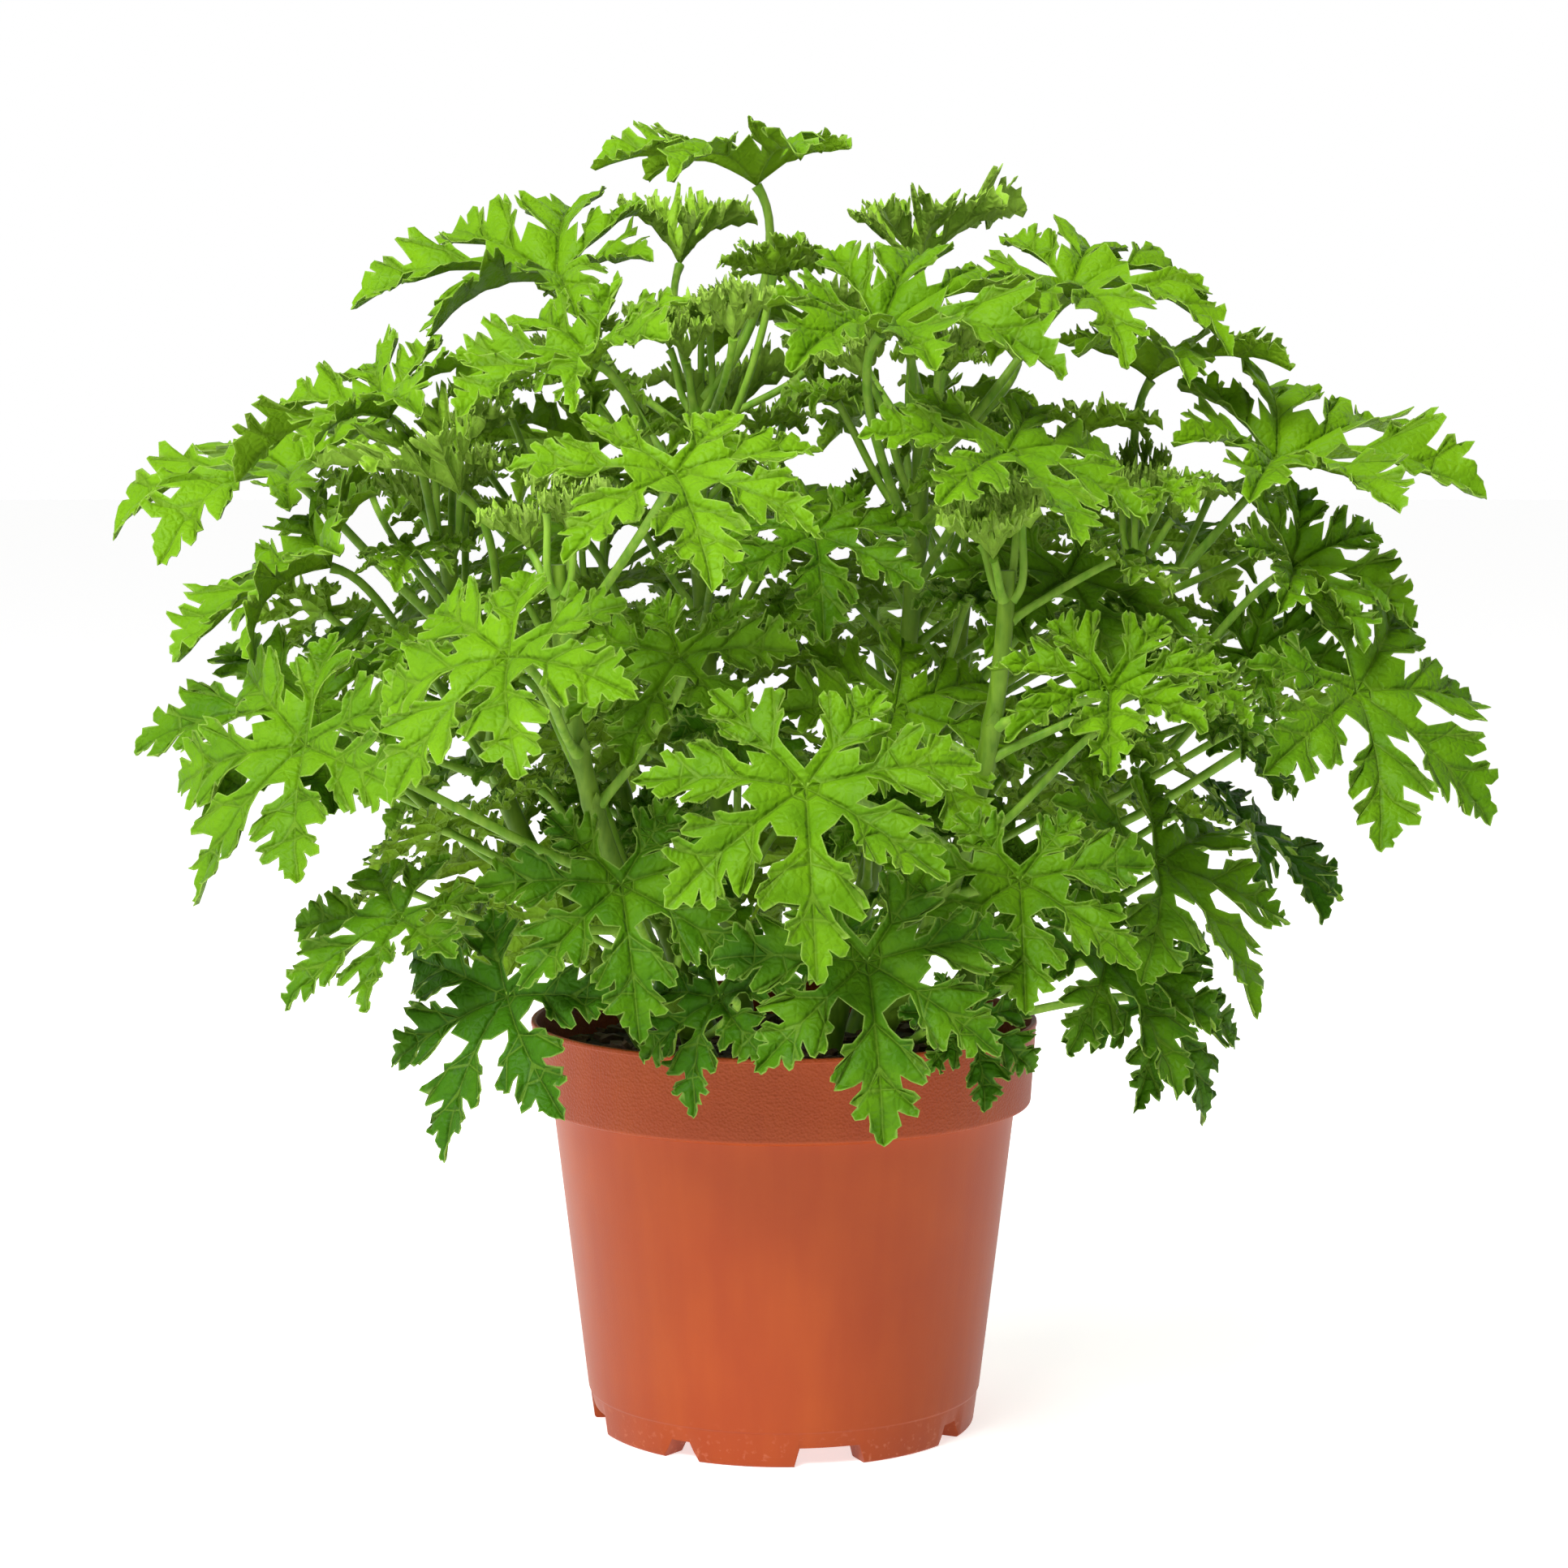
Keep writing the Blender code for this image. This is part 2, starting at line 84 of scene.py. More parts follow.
def linear(hex_colour):
    """A linear colour from an sRGB hex value."""
    channels = [int(hex_colour[place:place + 2], 16) / 255 for place in (1, 3, 5)]
    bright = [c / 12.92 if c <= 0.04045 else ((c + 0.055) / 1.055) ** 2.4 for c in channels]
    return (*bright, 1.0)


def node(tree, kind, settings=None, links=None, **values):
    """Adds a shader node: its settings, its socket values by name, and links into its sockets."""
    made = tree.nodes.new("ShaderNode" + kind)
    for name, value in (settings or {}).items():
        setattr(made, name, value)
    for name, value in values.items():
        made.inputs[name.replace("_", " ")].default_value = value
    for socket, source in (links or {}).items():
        tree.links.new(source, made.inputs[socket])
    return made


def new_material(name):
    """An empty node material and its output."""
    material = bpy.data.materials.new(name)
    material.use_nodes = True
    material.node_tree.nodes.clear()
    return material, material.node_tree, material.node_tree.nodes.new("ShaderNodeOutputMaterial")


def mesh_object(name, points, faces, materials, face_slots=None, sharp_angle=40):
    """Links a smooth-shaded mesh object."""
    mesh = bpy.data.meshes.new(name)
    mesh.from_pydata([tuple(point) for point in points], [], [tuple(face) for face in faces])
    for material in materials:
        mesh.materials.append(material)
    if face_slots is not None:
        mesh.polygons.foreach_set("material_index", np.asarray(face_slots, dtype=np.int32))
    mesh.shade_smooth()
    mesh.set_sharp_from_angle(angle=math.radians(sharp_angle))
    mesh.update()
    made = bpy.data.objects.new(name, mesh)
    bpy.context.scene.collection.objects.link(made)
    return made


def rounded(corners, radius, steps=4):
    """A section line with each inner corner rounded off."""
    line = [Vector(corners[0])]
    for before, corner, after in zip(corners, corners[1:], corners[2:]):
        corner = Vector(corner)
        back = Vector(before) - corner
        ahead = Vector(after) - corner
        trim = min(radius, 0.45 * back.length, 0.45 * ahead.length)
        start = corner + back.normalized() * trim
        end = corner + ahead.normalized() * trim
        for step in range(steps + 1):
            share = step / steps
            line.append(start.lerp(corner, share).lerp(corner.lerp(end, share), share))
    line.append(Vector(corners[-1]))
    return line


def pot_section():
    """The pot's section from the middle of its underside, round its rim, to the middle of its floor."""
    seam = 12 * MM
    at_seam = BASE_RADIUS + (BODY_TOP_RADIUS - BASE_RADIUS) * seam / BAND_BOTTOM
    outside = rounded([
        (0, FLOOR_UNDERSIDE),
        (FOOT_INNER_RADIUS, FLOOR_UNDERSIDE),
        (FOOT_INNER_RADIUS + 0.4 * MM, 0),
        (BASE_RADIUS - 0.3 * MM, 0),
        (at_seam - 0.25 * MM, seam - 0.6 * MM),
        (at_seam + 0.25 * MM, seam),
        (BODY_TOP_RADIUS, BAND_BOTTOM),
        (RIM_RADIUS - 2.0 * MM, BAND_BOTTOM + 0.2 * MM),
        (RIM_RADIUS - 0.3 * MM, RIM_TOP - 1.6 * MM),
        (RIM_RADIUS, RIM_TOP - 1.3 * MM),
        (RIM_RADIUS - 0.1 * MM, RIM_TOP),
        (RIM_RADIUS - WALL, RIM_TOP),
        (RIM_RADIUS - 2.0 * MM - WALL, BAND_BOTTOM + 1.0 * MM),
        (BODY_TOP_RADIUS - WALL, BAND_BOTTOM - 2.0 * MM),
        (BASE_RADIUS - WALL + 1.0 * MM, FLOOR_TOP),
        (0, FLOOR_TOP),
    ], 1.1 * MM)
    line = [outside[0]]
    for point in outside[1:]:
        steps = max(1, int((point - line[-1]).length / (6 * MM)))
        start = line[-1]
        line += [start.lerp(point, (step + 1) / steps) for step in range(steps)]
    return line


def notch_depth(bearing):
    """How far into a drain notch a bearing lies, from 0 outside it to 1 in its middle part."""
    depth = 0.0
    for quarter in range(4):
        for middle, width in NOTCHES:
            away = abs((bearing - middle - 90 * quarter + 180) % 360 - 180)
            depth = max(depth, min(1.0, max(0.0, (width / 2 - away) / 1.0)))
    return depth * depth * (3 - 2 * depth)


section = pot_section()
columns = []
for column in range(POT_COLUMNS):
    bearing = 360 * column / POT_COLUMNS
    columns.append((math.sin(math.radians(bearing)), -math.cos(math.radians(bearing)), notch_depth(bearing)))
points = [Vector((0, 0, section[0].y))]
for radius, height in section[1:-1]:
    for across, back, depth in columns:
        lifted = max(height, NOTCH_TOP * depth) if radius > FOOT_INNER_RADIUS - 1.2 * MM else height
        points.append(Vector((across * radius, back * radius, lifted)))
points.append(Vector((0, 0, section[-1].y)))
faces = []
for ring in range(len(section) - 3):
    for column in range(POT_COLUMNS):
        after = (column + 1) % POT_COLUMNS
        low = 1 + ring * POT_COLUMNS
        faces.append((low + column, low + after, low + POT_COLUMNS + after, low + POT_COLUMNS + column))
for column in range(POT_COLUMNS):
    after = (column + 1) % POT_COLUMNS
    last = 1 + (len(section) - 3) * POT_COLUMNS
    faces.append((0, 1 + after, 1 + column))
    faces.append((len(points) - 1, last + column, last + after))


def moulded_polypropylene():
    """Terracotta polypropylene as moulded: satin, with a fine spark-eroded grain on its rim band."""
    material, tree, output = new_material("moulded_polypropylene")
    place = node(tree, "TexCoord")
    height = node(tree, "SeparateXYZ", links={0: place.outputs["Object"]})
    band = node(tree, "MapRange", links={0: height.outputs["Z"]},
                From_Min=BAND_BOTTOM - 0.5 * MM, From_Max=BAND_BOTTOM + 1.5 * MM)
    # Flow marks from the gate run up the wall: stretched 12:1, about 9 mm apart.
    stretched = node(tree, "Mapping", links={0: place.outputs["Object"]}, Scale=(1, 1, 0.08))
    flow = node(tree, "TexNoise", links={0: stretched.outputs[0]}, Scale=1 / (9 * MM), Detail=3.0)
    cloud = node(tree, "TexNoise", links={0: place.outputs["Object"]}, Scale=1 / (35 * MM), Detail=2.0)
    uneven = node(tree, "Math", {"operation": "MULTIPLY"}, {0: flow.outputs[0], 1: cloud.outputs[0]})
    spread = node(tree, "MapRange", links={0: uneven.outputs[0]}, From_Min=0.12, From_Max=0.42)
    body = node(tree, "Mix", {"data_type": "RGBA"}, {0: spread.outputs[0]})
    body.inputs[6].default_value = linear("#983C12")
    body.inputs[7].default_value = linear("#A04414")
    # Dust and scuffs settle on the lowest 15 mm of the wall.
    low = node(tree, "MapRange", links={0: height.outputs["Z"]},
               From_Min=15 * MM, From_Max=0.0, To_Min=0.0, To_Max=1.0)
    scuff = node(tree, "TexNoise", links={0: place.outputs["Object"]}, Scale=1 / (2.2 * MM), Detail=4.0)
    marks = node(tree, "MapRange", links={0: scuff.outputs[0]}, From_Min=0.58, From_Max=0.72)
    dusty = node(tree, "Math", {"operation": "MULTIPLY"}, {0: low.outputs[0], 1: marks.outputs[0]})
    faint = node(tree, "Math", {"operation": "MULTIPLY"}, {0: dusty.outputs[0]})
    faint.inputs[1].default_value = 0.35
    # The grained band is drawn darker than the wall: partly its own tone, partly painted shade where the
    # foliage above shadows it.
    band_tone_and_shade = node(tree, "MapRange", links={0: band.outputs[0]}, To_Min=1.0, To_Max=0.80)
    band_toned_and_shaded = node(tree, "HueSaturation", links={"Color": body.outputs[2], "Value": band_tone_and_shade.outputs[0]})
    colour = node(tree, "Mix", {"data_type": "RGBA"}, {0: faint.outputs[0], 6: band_toned_and_shaded.outputs[0]})
    colour.inputs[7].default_value = linear("#D98E6C")
    # The band's grain: pits about 0.7 mm across, drawn a little coarser than real so they show.
    grain = node(tree, "TexVoronoi", links={0: place.outputs["Object"]}, Scale=1 / (0.9 * MM))
    fine = node(tree, "TexNoise", links={0: place.outputs["Object"]}, Scale=1 / (0.5 * MM), Detail=3.0)
    pits = node(tree, "Math", {"operation": "MULTIPLY"}, {0: grain.outputs["Distance"], 1: band.outputs[0]})
    relief = node(tree, "Math", {"operation": "MULTIPLY_ADD"}, {0: fine.outputs[0], 2: pits.outputs[0]})
    relief.inputs[1].default_value = 0.25
    streaks = node(tree, "Bump", links={"Height": flow.outputs[0]}, Strength=0.25, Distance=0.25 * MM)
    bump = node(tree, "Bump", links={"Height": relief.outputs[0], "Normal": streaks.outputs[0]},
                Strength=0.6, Distance=0.3 * MM)
    gloss = node(tree, "MapRange", links={0: band.outputs[0]}, To_Min=0.42, To_Max=0.5)
    shader = node(tree, "BsdfPrincipled", links={
        "Base Color": colour.outputs[2], "Roughness": gloss.outputs[0], "Normal": bump.outputs[0]},
        IOR=1.49)
    shader.inputs["Specular IOR Level"].default_value = 0.22
    tree.links.new(shader.outputs[0], output.inputs["Surface"])
    return material


nursery_pot = mesh_object("nursery_pot", points, faces, [moulded_polypropylene()], sharp_angle=35)
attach(nursery_pot, "root")
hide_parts("pot")


# ---- Potting mix ----------------------------------------------------------------------------
# Damp peat and composted bark, filled by hand to a finger's width below the lip.  It is a
# crumbly surface with loose bark chips on it, and the shoots grow up through it.

MIX_RADIUS = RIM_RADIUS - 8.6 * MM
MIX_TOP = 125.5 * MM
MIX_RINGS = 44
MIX_COLUMNS = 150
CHIP_COUNT = 420


def crumbly(x, y):
    """The height of the mix's rough surface above its mean level."""
    place = Vector((x, y, 0.0))
    clods = noise.noise(place / (14 * MM))
    crumbs = noise.noise(place / (4.2 * MM) + Vector((7, 3, 1)))
    grit = noise.noise(place / (1.9 * MM) + Vector((1, 9, 4)))
    return (1.3 * clods + 0.9 * crumbs + 0.35 * grit) * MM


def potting_mix():
    """Peat and bark mix: nearly black when damp, with brown flecks of bark and no shine."""
    material, tree, output = new_material("damp_potting_mix")
    place = node(tree, "TexCoord")
    fleck = node(tree, "TexNoise", links={0: place.outputs["Object"]}, Scale=1 / (2.5 * MM), Detail=5.0)
    share = node(tree, "MapRange", links={0: fleck.outputs[0]}, From_Min=0.42, From_Max=0.7)
    colour = node(tree, "Mix", {"data_type": "RGBA"}, {0: share.outputs[0]})
    colour.inputs[6].default_value = linear("#140E0A")
    colour.inputs[7].default_value = linear("#3B2A1C")
    bump = node(tree, "Bump", links={"Height": fleck.outputs[0]}, Strength=0.8, Distance=0.5 * MM)
    shader = node(tree, "BsdfPrincipled", links={"Base Color": colour.outputs[2], "Normal": bump.outputs[0]},
                  Roughness=0.92)
    tree.links.new(shader.outputs[0], output.inputs["Surface"])
    return material


def bark_chip():
    """Composted bark: dull red-brown, fibrous along the chip."""
    material, tree, output = new_material("composted_bark")
    place = node(tree, "TexCoord")
    fibre = node(tree, "TexNoise", links={0: place.outputs["Object"]}, Scale=1 / (1.5 * MM), Detail=4.0)
    colour = node(tree, "Mix", {"data_type": "RGBA"}, {0: fibre.outputs[0]})
    colour.inputs[6].default_value = linear("#1E130C")
    colour.inputs[7].default_value = linear("#5C412A")
    bump = node(tree, "Bump", links={"Height": fibre.outputs[0]}, Strength=0.7, Distance=0.3 * MM)
    shader = node(tree, "BsdfPrincipled", links={"Base Color": colour.outputs[2], "Normal": bump.outputs[0]},
                  Roughness=0.85)
    tree.links.new(shader.outputs[0], output.inputs["Surface"])
    return material


points = [Vector((0, 0, MIX_TOP + crumbly(0, 0)))]
faces = []
for ring in range(1, MIX_RINGS + 1):
    radius = MIX_RADIUS * ring / MIX_RINGS
    for column in range(MIX_COLUMNS):
        turn = 2 * math.pi * column / MIX_COLUMNS
        x = radius * math.sin(turn)
        y = radius * math.cos(turn)
        points.append(Vector((x, y, MIX_TOP + crumbly(x, y))))
for radius, height in ((MIX_RADIUS - 0.5 * MM, 100 * MM), (BASE_RADIUS - 3.5 * MM, 12 * MM)):
    for column in range(MIX_COLUMNS):
        turn = 2 * math.pi * column / MIX_COLUMNS
        points.append(Vector((radius * math.sin(turn), radius * math.cos(turn), height)))
points.append(Vector((0, 0, 12 * MM)))
rings = MIX_RINGS + 2
for column in range(MIX_COLUMNS):
    after = (column + 1) % MIX_COLUMNS
    faces.append((0, 1 + after, 1 + column))
    last = 1 + (rings - 1) * MIX_COLUMNS
    faces.append((len(points) - 1, last + column, last + after))
    for ring in range(rings - 1):
        low = 1 + ring * MIX_COLUMNS
        faces.append((low + column, low + after, low + MIX_COLUMNS + after, low + MIX_COLUMNS + column))
slots = [0] * len(faces)
chance = np.random.default_rng(17)
for _ in range(CHIP_COUNT):
    radius = (MIX_RADIUS - 4 * MM) * math.sqrt(chance.uniform(0.02, 1))
    turn = chance.uniform(0, 2 * math.pi)
    size = chance.uniform(1.0, 3.2) * MM
    centre = Vector((radius * math.sin(turn), radius * math.cos(turn), 0))
    centre.z = MIX_TOP + crumbly(centre.x, centre.y) + 0.25 * size
    long_way = Vector((chance.normal(), chance.normal(), 0.35 * chance.normal())).normalized()
    wide_way = long_way.cross(Vector((0, 0, 1))).normalized()
    thick_way = long_way.cross(wide_way)
    first = len(points)
    for end, narrowing in ((-1, 0.75), (-0.3, 1.0), (0.5, 0.95), (1, 0.6)):
        for across, up in ((-1, -0.35), (1, -0.45), (0.9, 0.4), (-0.8, 0.5)):
            jitter = 1 + 0.25 * chance.normal()
            offset = long_way * end * 1.3 + (wide_way * across * 0.7 + thick_way * up) * narrowing * jitter
            points.append(centre + offset * size)
    for ring in range(3):
        for step in range(4):
            after = (step + 1) % 4
            low = first + 4 * ring
            faces.append((low + step, low + after, low + 4 + after, low + 4 + step))
    faces.append((first + 3, first + 2, first + 1, first))
    faces.append((first + 12, first + 13, first + 14, first + 15))
    slots += [1] * 14
bark_mix = mesh_object("bark_mix", points, faces, [potting_mix(), bark_chip()], slots, sharp_angle=30)
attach(bark_mix, "root")
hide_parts("potting_mix")


# ---- Shoots ---------------------------------------------------------------------------------
# Soft green shoots, as thick as a pencil where they leave the mix.  They lean out over the rim,
# turn up, swell a little at each joint and carry a pair of small scales where a stalk leaves.

SHOOT_ROOT = 112 * MM
SHOOT_BASE_RADIUS = 4.6 * MM
SHOOT_TIP_RADIUS = 2.6 * MM
SHOOT_SIDES = 20
SHOOT_RINGS = 72

Shoot = namedtuple("Shoot", "name bearing root_reach tip_reach tip_height")
SHOOTS = (
    Shoot("front_left", -36, 34, 118, 292),
    Shoot("front_right", 38, 36, 112, 290),
    Shoot("left", -88, 38, 112, 302),
    Shoot("right", 88, 38, 118, 300),
    Shoot("back_left", -142, 36, 112, 285),
    Shoot("back_right", 144, 36, 110, 290),
    Shoot("top_left", -75, 12, 30, 352),
    Shoot("top_right", 60, 14, 52, 345),
)


# Each leaf: the shoot it grows on and how far up, the place of its blade's base (bearing in
# degrees, reach from the pot's axis and height in millimetres), the bearing that its middle lobe
# points to, the dip of that lobe below level, the blade's roll about it, the middle lobe's
# length in millimetres and the blade's form.
Leaf = namedtuple("Leaf", "shoot node bearing reach height aim dip roll length form")
LEAVES = (
    Leaf("front_left", 0.42, -20, 142, 198, 15, 58, 10, 50, "flat"),
    Leaf("front_left", 0.30, -35, 146, 162, -45, 56, -5, 54, "flat"),
    Leaf("front_left", 0.48, -47, 160, 184, -75, 32, -20, 46, "flat"),
    Leaf("front_left", 0.58, -58, 174, 236, -75, 48, -30, 62, "flat"),
    Leaf("front_left", 0.78, -30, 162, 266, -60, 42, -15, 56, "flat"),
    Leaf("front_left", 0.70, -17, 108, 264, -30, 44, 0, 46, "flat"),
    Leaf("front_left", 0.20, -9, 124, 162, -30, 50, 15, 38, "flat"),
    Leaf("front_left", 0.92, -12, 152, 320, 15, 32, 5, 56, "flat"),
    Leaf("front_right", 0.62, 2, 176, 231, 5, 54, 5, 60, "flat"),
    Leaf("front_right", 0.38, 8, 172, 180, 12, 62, 8, 52, "flat"),
    Leaf("front_right", 0.50, 28, 150, 199, 0, 50, 0, 48, "flat"),
    Leaf("front_right", 0.28, 44, 142, 171, 45, 50, 0, 50, "flat"),
    Leaf("front_right", 0.55, 55, 142, 198, 56, 46, 5, 60, "flat"),
    Leaf("front_right", 0.82, 41, 150, 254, -5, 42, 0, 46, "cup"),
    Leaf("front_right", 0.76, 26, 80, 246, 45, 46, 5, 52, "flat"),
    Leaf("front_right", 0.18, 68, 128, 150, 80, 58, 35, 46, "flat"),
    Leaf("front_right", 0.16, 32, 109, 151, 25, 68, -5, 30, "flat"),
    Leaf("right", 0.58, 78, 189, 249, 85, 42, 40, 64, "flat"),
    Leaf("right", 0.76, 83, 167, 288, 95, 25, 35, 48, "cup"),
    Leaf("right", 0.92, 86, 162, 320, 85, 14, 20, 70, "cup"),
    Leaf("right", 0.97, 92, 122, 350, 60, 5, 0, 54, "cup"),
    Leaf("right", 0.62, 91, 156, 257, 60, 12, 35, 38, "cup"),
    Leaf("right", 0.34, 105, 165, 196, 110, 32, 20, 50, "flat"),
    Leaf("right", 0.46, 112, 160, 232, 105, 35, 20, 46, "flat"),
    Leaf("left", 0.96, -72, 133, 337, -80, 24, -10, 54, "cup"),
    Leaf("left", 0.78, -79, 150, 289, -85, 44, -10, 62, "cup"),
    Leaf("left", 0.88, -100, 168, 316, -95, 10, -15, 74, "arch"),
    Leaf("left", 0.72, -58, 120, 313, -90, 25, -15, 46, "young"),
    Leaf("left", 0.30, -103, 98, 182, -100, 62, -10, 44, "flat"),
    Leaf("left", 0.50, -74, 156, 244, -92, 8, -35, 62, "flat"),
    Leaf("top_left", 0.98, -40, 14, 413, -80, 2, 0, 58, "cup"),
    Leaf("top_left", 0.90, -105, 79, 381, -90, 10, -22, 72, "cup"),
    Leaf("top_left", 0.82, -40, 91, 354, -60, 32, -8, 54, "cup"),
    Leaf("top_left", 0.60, -85, 70, 300, -60, 32, 0, 48, "flat"),
    Leaf("top_left", 0.72, 175, 74, 369, 175, 10, 0, 58, "arch"),
    Leaf("top_right", 0.94, 83, 94, 377, 70, 12, 20, 64, "arch"),
    Leaf("top_right", 0.86, 22, 80, 363, 70, 14, 22, 64, "cup"),
    Leaf("top_right", 0.82, 36, 116, 326, 25, 30, -5, 56, "flat"),
    Leaf("top_right", 0.62, 61, 103, 286, 20, 36, 0, 54, "flat"),
    Leaf("top_right", 0.98, 140, 72, 385, 110, 0, 0, 48, "young"),
    Leaf("top_right", 0.54, 9, 63, 300, 5, 38, 0, 44, "flat"),
    Leaf("back_left", 0.92, -150, 138, 325, -145, 15, 0, 60, "cup"),
    Leaf("back_left", 0.66, -135, 158, 262, -130, 30, 5, 58, "flat"),
    Leaf("back_left", 0.50, -162, 168, 225, -165, 38, 0, 54, "flat"),
    Leaf("back_left", 0.30, -140, 145, 175, -140, 50, 0, 52, "flat"),
    Leaf("back_right", 0.94, 160, 132, 334, 165, 12, 0, 60, "cup"),
    Leaf("back_right", 0.78, 128, 158, 292, 125, 20, 0, 60, "arch"),
    Leaf("back_right", 0.62, 168, 164, 268, 172, 25, 0, 56, "flat"),
    Leaf("back_right", 0.46, 145, 155, 215, 145, 42, 0, 54, "flat"),
    Leaf("back_right", 0.28, 172, 142, 172, 175, 52, 0, 50, "flat"),
)


def heading(bearing):
    """The level unit vector at a bearing in degrees: 0 to the front, 90 to the right."""
    turn = math.radians(bearing)
    return Vector((math.sin(turn), -math.cos(turn), 0.0))


def bezier(controls, share):
    """A point of a Bezier curve through its control points."""
    while len(controls) > 1:
        controls = [first.lerp(second, share) for first, second in zip(controls, controls[1:])]
    return controls[0]


def shoot_controls(shoot):
    """The shoot's control points: out of the mix, outward over the rim, then up to its tip."""
    root = heading(shoot.bearing) * shoot.root_reach * MM
    tip = heading(shoot.bearing) * shoot.tip_reach * MM
    rise = shoot.tip_height * MM - SHOOT_ROOT
    return [
        root + Vector((0, 0, SHOOT_ROOT)),
        root.lerp(tip, 0.22) + Vector((0, 0, SHOOT_ROOT + 0.22 * rise)),
        root.lerp(tip, 0.95) + Vector((0, 0, SHOOT_ROOT + 0.45 * rise)),
        tip + Vector((0, 0, shoot.tip_height * MM)),
    ]


def shoot_radius(share):
    """The shoot's radius, tapering toward its tip."""
    return SHOOT_BASE_RADIUS + (SHOOT_TIP_RADIUS - SHOOT_BASE_RADIUS) * share


def tube(path, radii, sides, ribs=0.0):
    """Points and faces of a closed tube along a path, with five faint ribs if asked."""
    tube_points = []
    side = None
    for place, centre in enumerate(path):
        along = (path[min(place + 1, len(path) - 1)] - path[max(place - 1, 0)]).normalized()
        if side is None:
            side = along.cross(Vector((0.31, 0.17, 0.93)))
        side = (side - along * side.dot(along)).normalized()
        across = along.cross(side)
        for step in range(sides):
            turn = 2 * math.pi * step / sides
            radius = radii[place] * (1 + ribs * math.cos(5 * turn))
            tube_points.append(centre + (side * math.cos(turn) + across * math.sin(turn)) * radius)
    tube_faces = []
    for ring in range(len(path) - 1):
        for step in range(sides):
            after = (step + 1) % sides
            low = ring * sides
            tube_faces.append((low + step, low + after, low + sides + after, low + sides + step))
    top = (len(path) - 1) * sides
    tube_faces.append(tuple(reversed(range(sides))))
    tube_faces.append(tuple(range(top, top + sides)))
    return tube_points, tube_faces


def stipule(base, grow, away, length):
    """One scale at a joint: a thin, curved triangle that clasps the shoot."""
    across = grow.cross(away).normalized()
    width = 0.42 * length
    scale_points = []
    for share in (0.0, 0.35, 0.7, 1.0):
        middle = base + grow * length * share + away * length * 0.35 * share * share
        half = across * width * (1 - share) ** 0.7
        for side in (-1, 0, 1):
            scale_points.append(middle + half * side - away * 0.12 * width * abs(side))
            scale_points.append(middle + half * side + away * (0.3 * MM - 0.12 * width * abs(side)))
    scale_faces = []
    for row in range(3):
        low = 6 * row
        for left in (0, 2):
            inner = (low + left, low + left + 2, low + left + 8, low + left + 6)
            scale_faces.append(inner)
            scale_faces.append(tuple(index + 1 for index in reversed(inner)))
        scale_faces.append((low, low + 6, low + 7, low + 1))
        scale_faces.append((low + 4, low + 5, low + 11, low + 10))
    scale_faces.append((0, 1, 3, 2))
    scale_faces.append((2, 3, 5, 4))
    scale_faces.append((18, 20, 21, 19))
    scale_faces.append((20, 22, 23, 21))
    return scale_points, scale_faces


def green_stem(name, shade, light):
    """Young living stem: satin green skin under a down of short hairs that catch the light."""
    material, tree, output = new_material(name)
    place = node(tree, "TexCoord")
    stretched = node(tree, "Mapping", links={0: place.outputs["Object"]}, Scale=(1, 1, 0.25))
    streak = node(tree, "TexNoise", links={0: stretched.outputs[0]}, Scale=1 / (2.5 * MM), Detail=3.0)
    share = node(tree, "MapRange", links={0: streak.outputs[0]}, From_Min=0.3, From_Max=0.7)
    colour = node(tree, "Mix", {"data_type": "RGBA"}, {0: share.outputs[0]})
    colour.inputs[6].default_value = linear(shade)
    colour.inputs[7].default_value = linear(light)
    bump = node(tree, "Bump", links={"Height": streak.outputs[0]}, Strength=0.3, Distance=0.2 * MM)
    shader = node(tree, "BsdfPrincipled", links={"Base Color": colour.outputs[2], "Normal": bump.outputs[0]},
                  Roughness=0.5, IOR=1.4)
    shader.inputs["Specular IOR Level"].default_value = 0.3
    shader.inputs["Sheen Weight"].default_value = 0.06
    shader.inputs["Sheen Roughness"].default_value = 0.4
    shader.inputs["Sheen Tint"].default_value = linear("#E6F0C0")
    tree.links.new(shader.outputs[0], output.inputs["Surface"])
    return material


SHOOT_SKIN = green_stem("green_shoot_skin", "#4E7012", "#6B8C24")
for shoot in SHOOTS:
    controls = shoot_controls(shoot)
    joints = [leaf.node for leaf in LEAVES if leaf.shoot == shoot.name]
    path = []
    radii = []
    for ring in range(SHOOT_RINGS):
        share = ring / (SHOOT_RINGS - 1)
        swelling = sum(math.exp(-((share - joint) / 0.014) ** 2) for joint in joints)
        path.append(bezier(controls, share))
        radii.append(shoot_radius(share) * (1 + 0.16 * min(swelling, 1.2)))
    points, faces = tube(path, radii, SHOOT_SIDES, ribs=0.025)
    for number, joint in enumerate(joints):
        low = bezier(controls, joint)
        grow = (bezier(controls, min(joint + 0.02, 1)) - bezier(controls, joint - 0.02)).normalized()
        leaf = [row for row in LEAVES if row.shoot == shoot.name][number]
        away = heading(leaf.bearing) * leaf.reach * MM + Vector((0, 0, leaf.height * MM)) - low
        away = (away - grow * away.dot(grow)).normalized()
        for side in (-1, 1):
            outward = (away + grow.cross(away) * side * 1.1).normalized()
            base = low + outward * shoot_radius(joint) * 1.0
            more_points, more_faces = stipule(base, grow, outward, 5.5 * MM)
            faces += [tuple(index + len(points) for index in face) for face in more_faces]
            points += more_points
    stem = mesh_object("stem_" + shoot.name, points, faces, [SHOOT_SKIN], sharp_angle=60)
    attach(stem, "root")
    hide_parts("shoot_" + shoot.name)


# ---- Leaves ---------------------------------------------------------------------------------
# Each leaf is one grown piece: a thin, softly hairy blade cut into seven toothed lobes, channelled
# along its veins, on a long stalk that springs from a joint of its shoot.

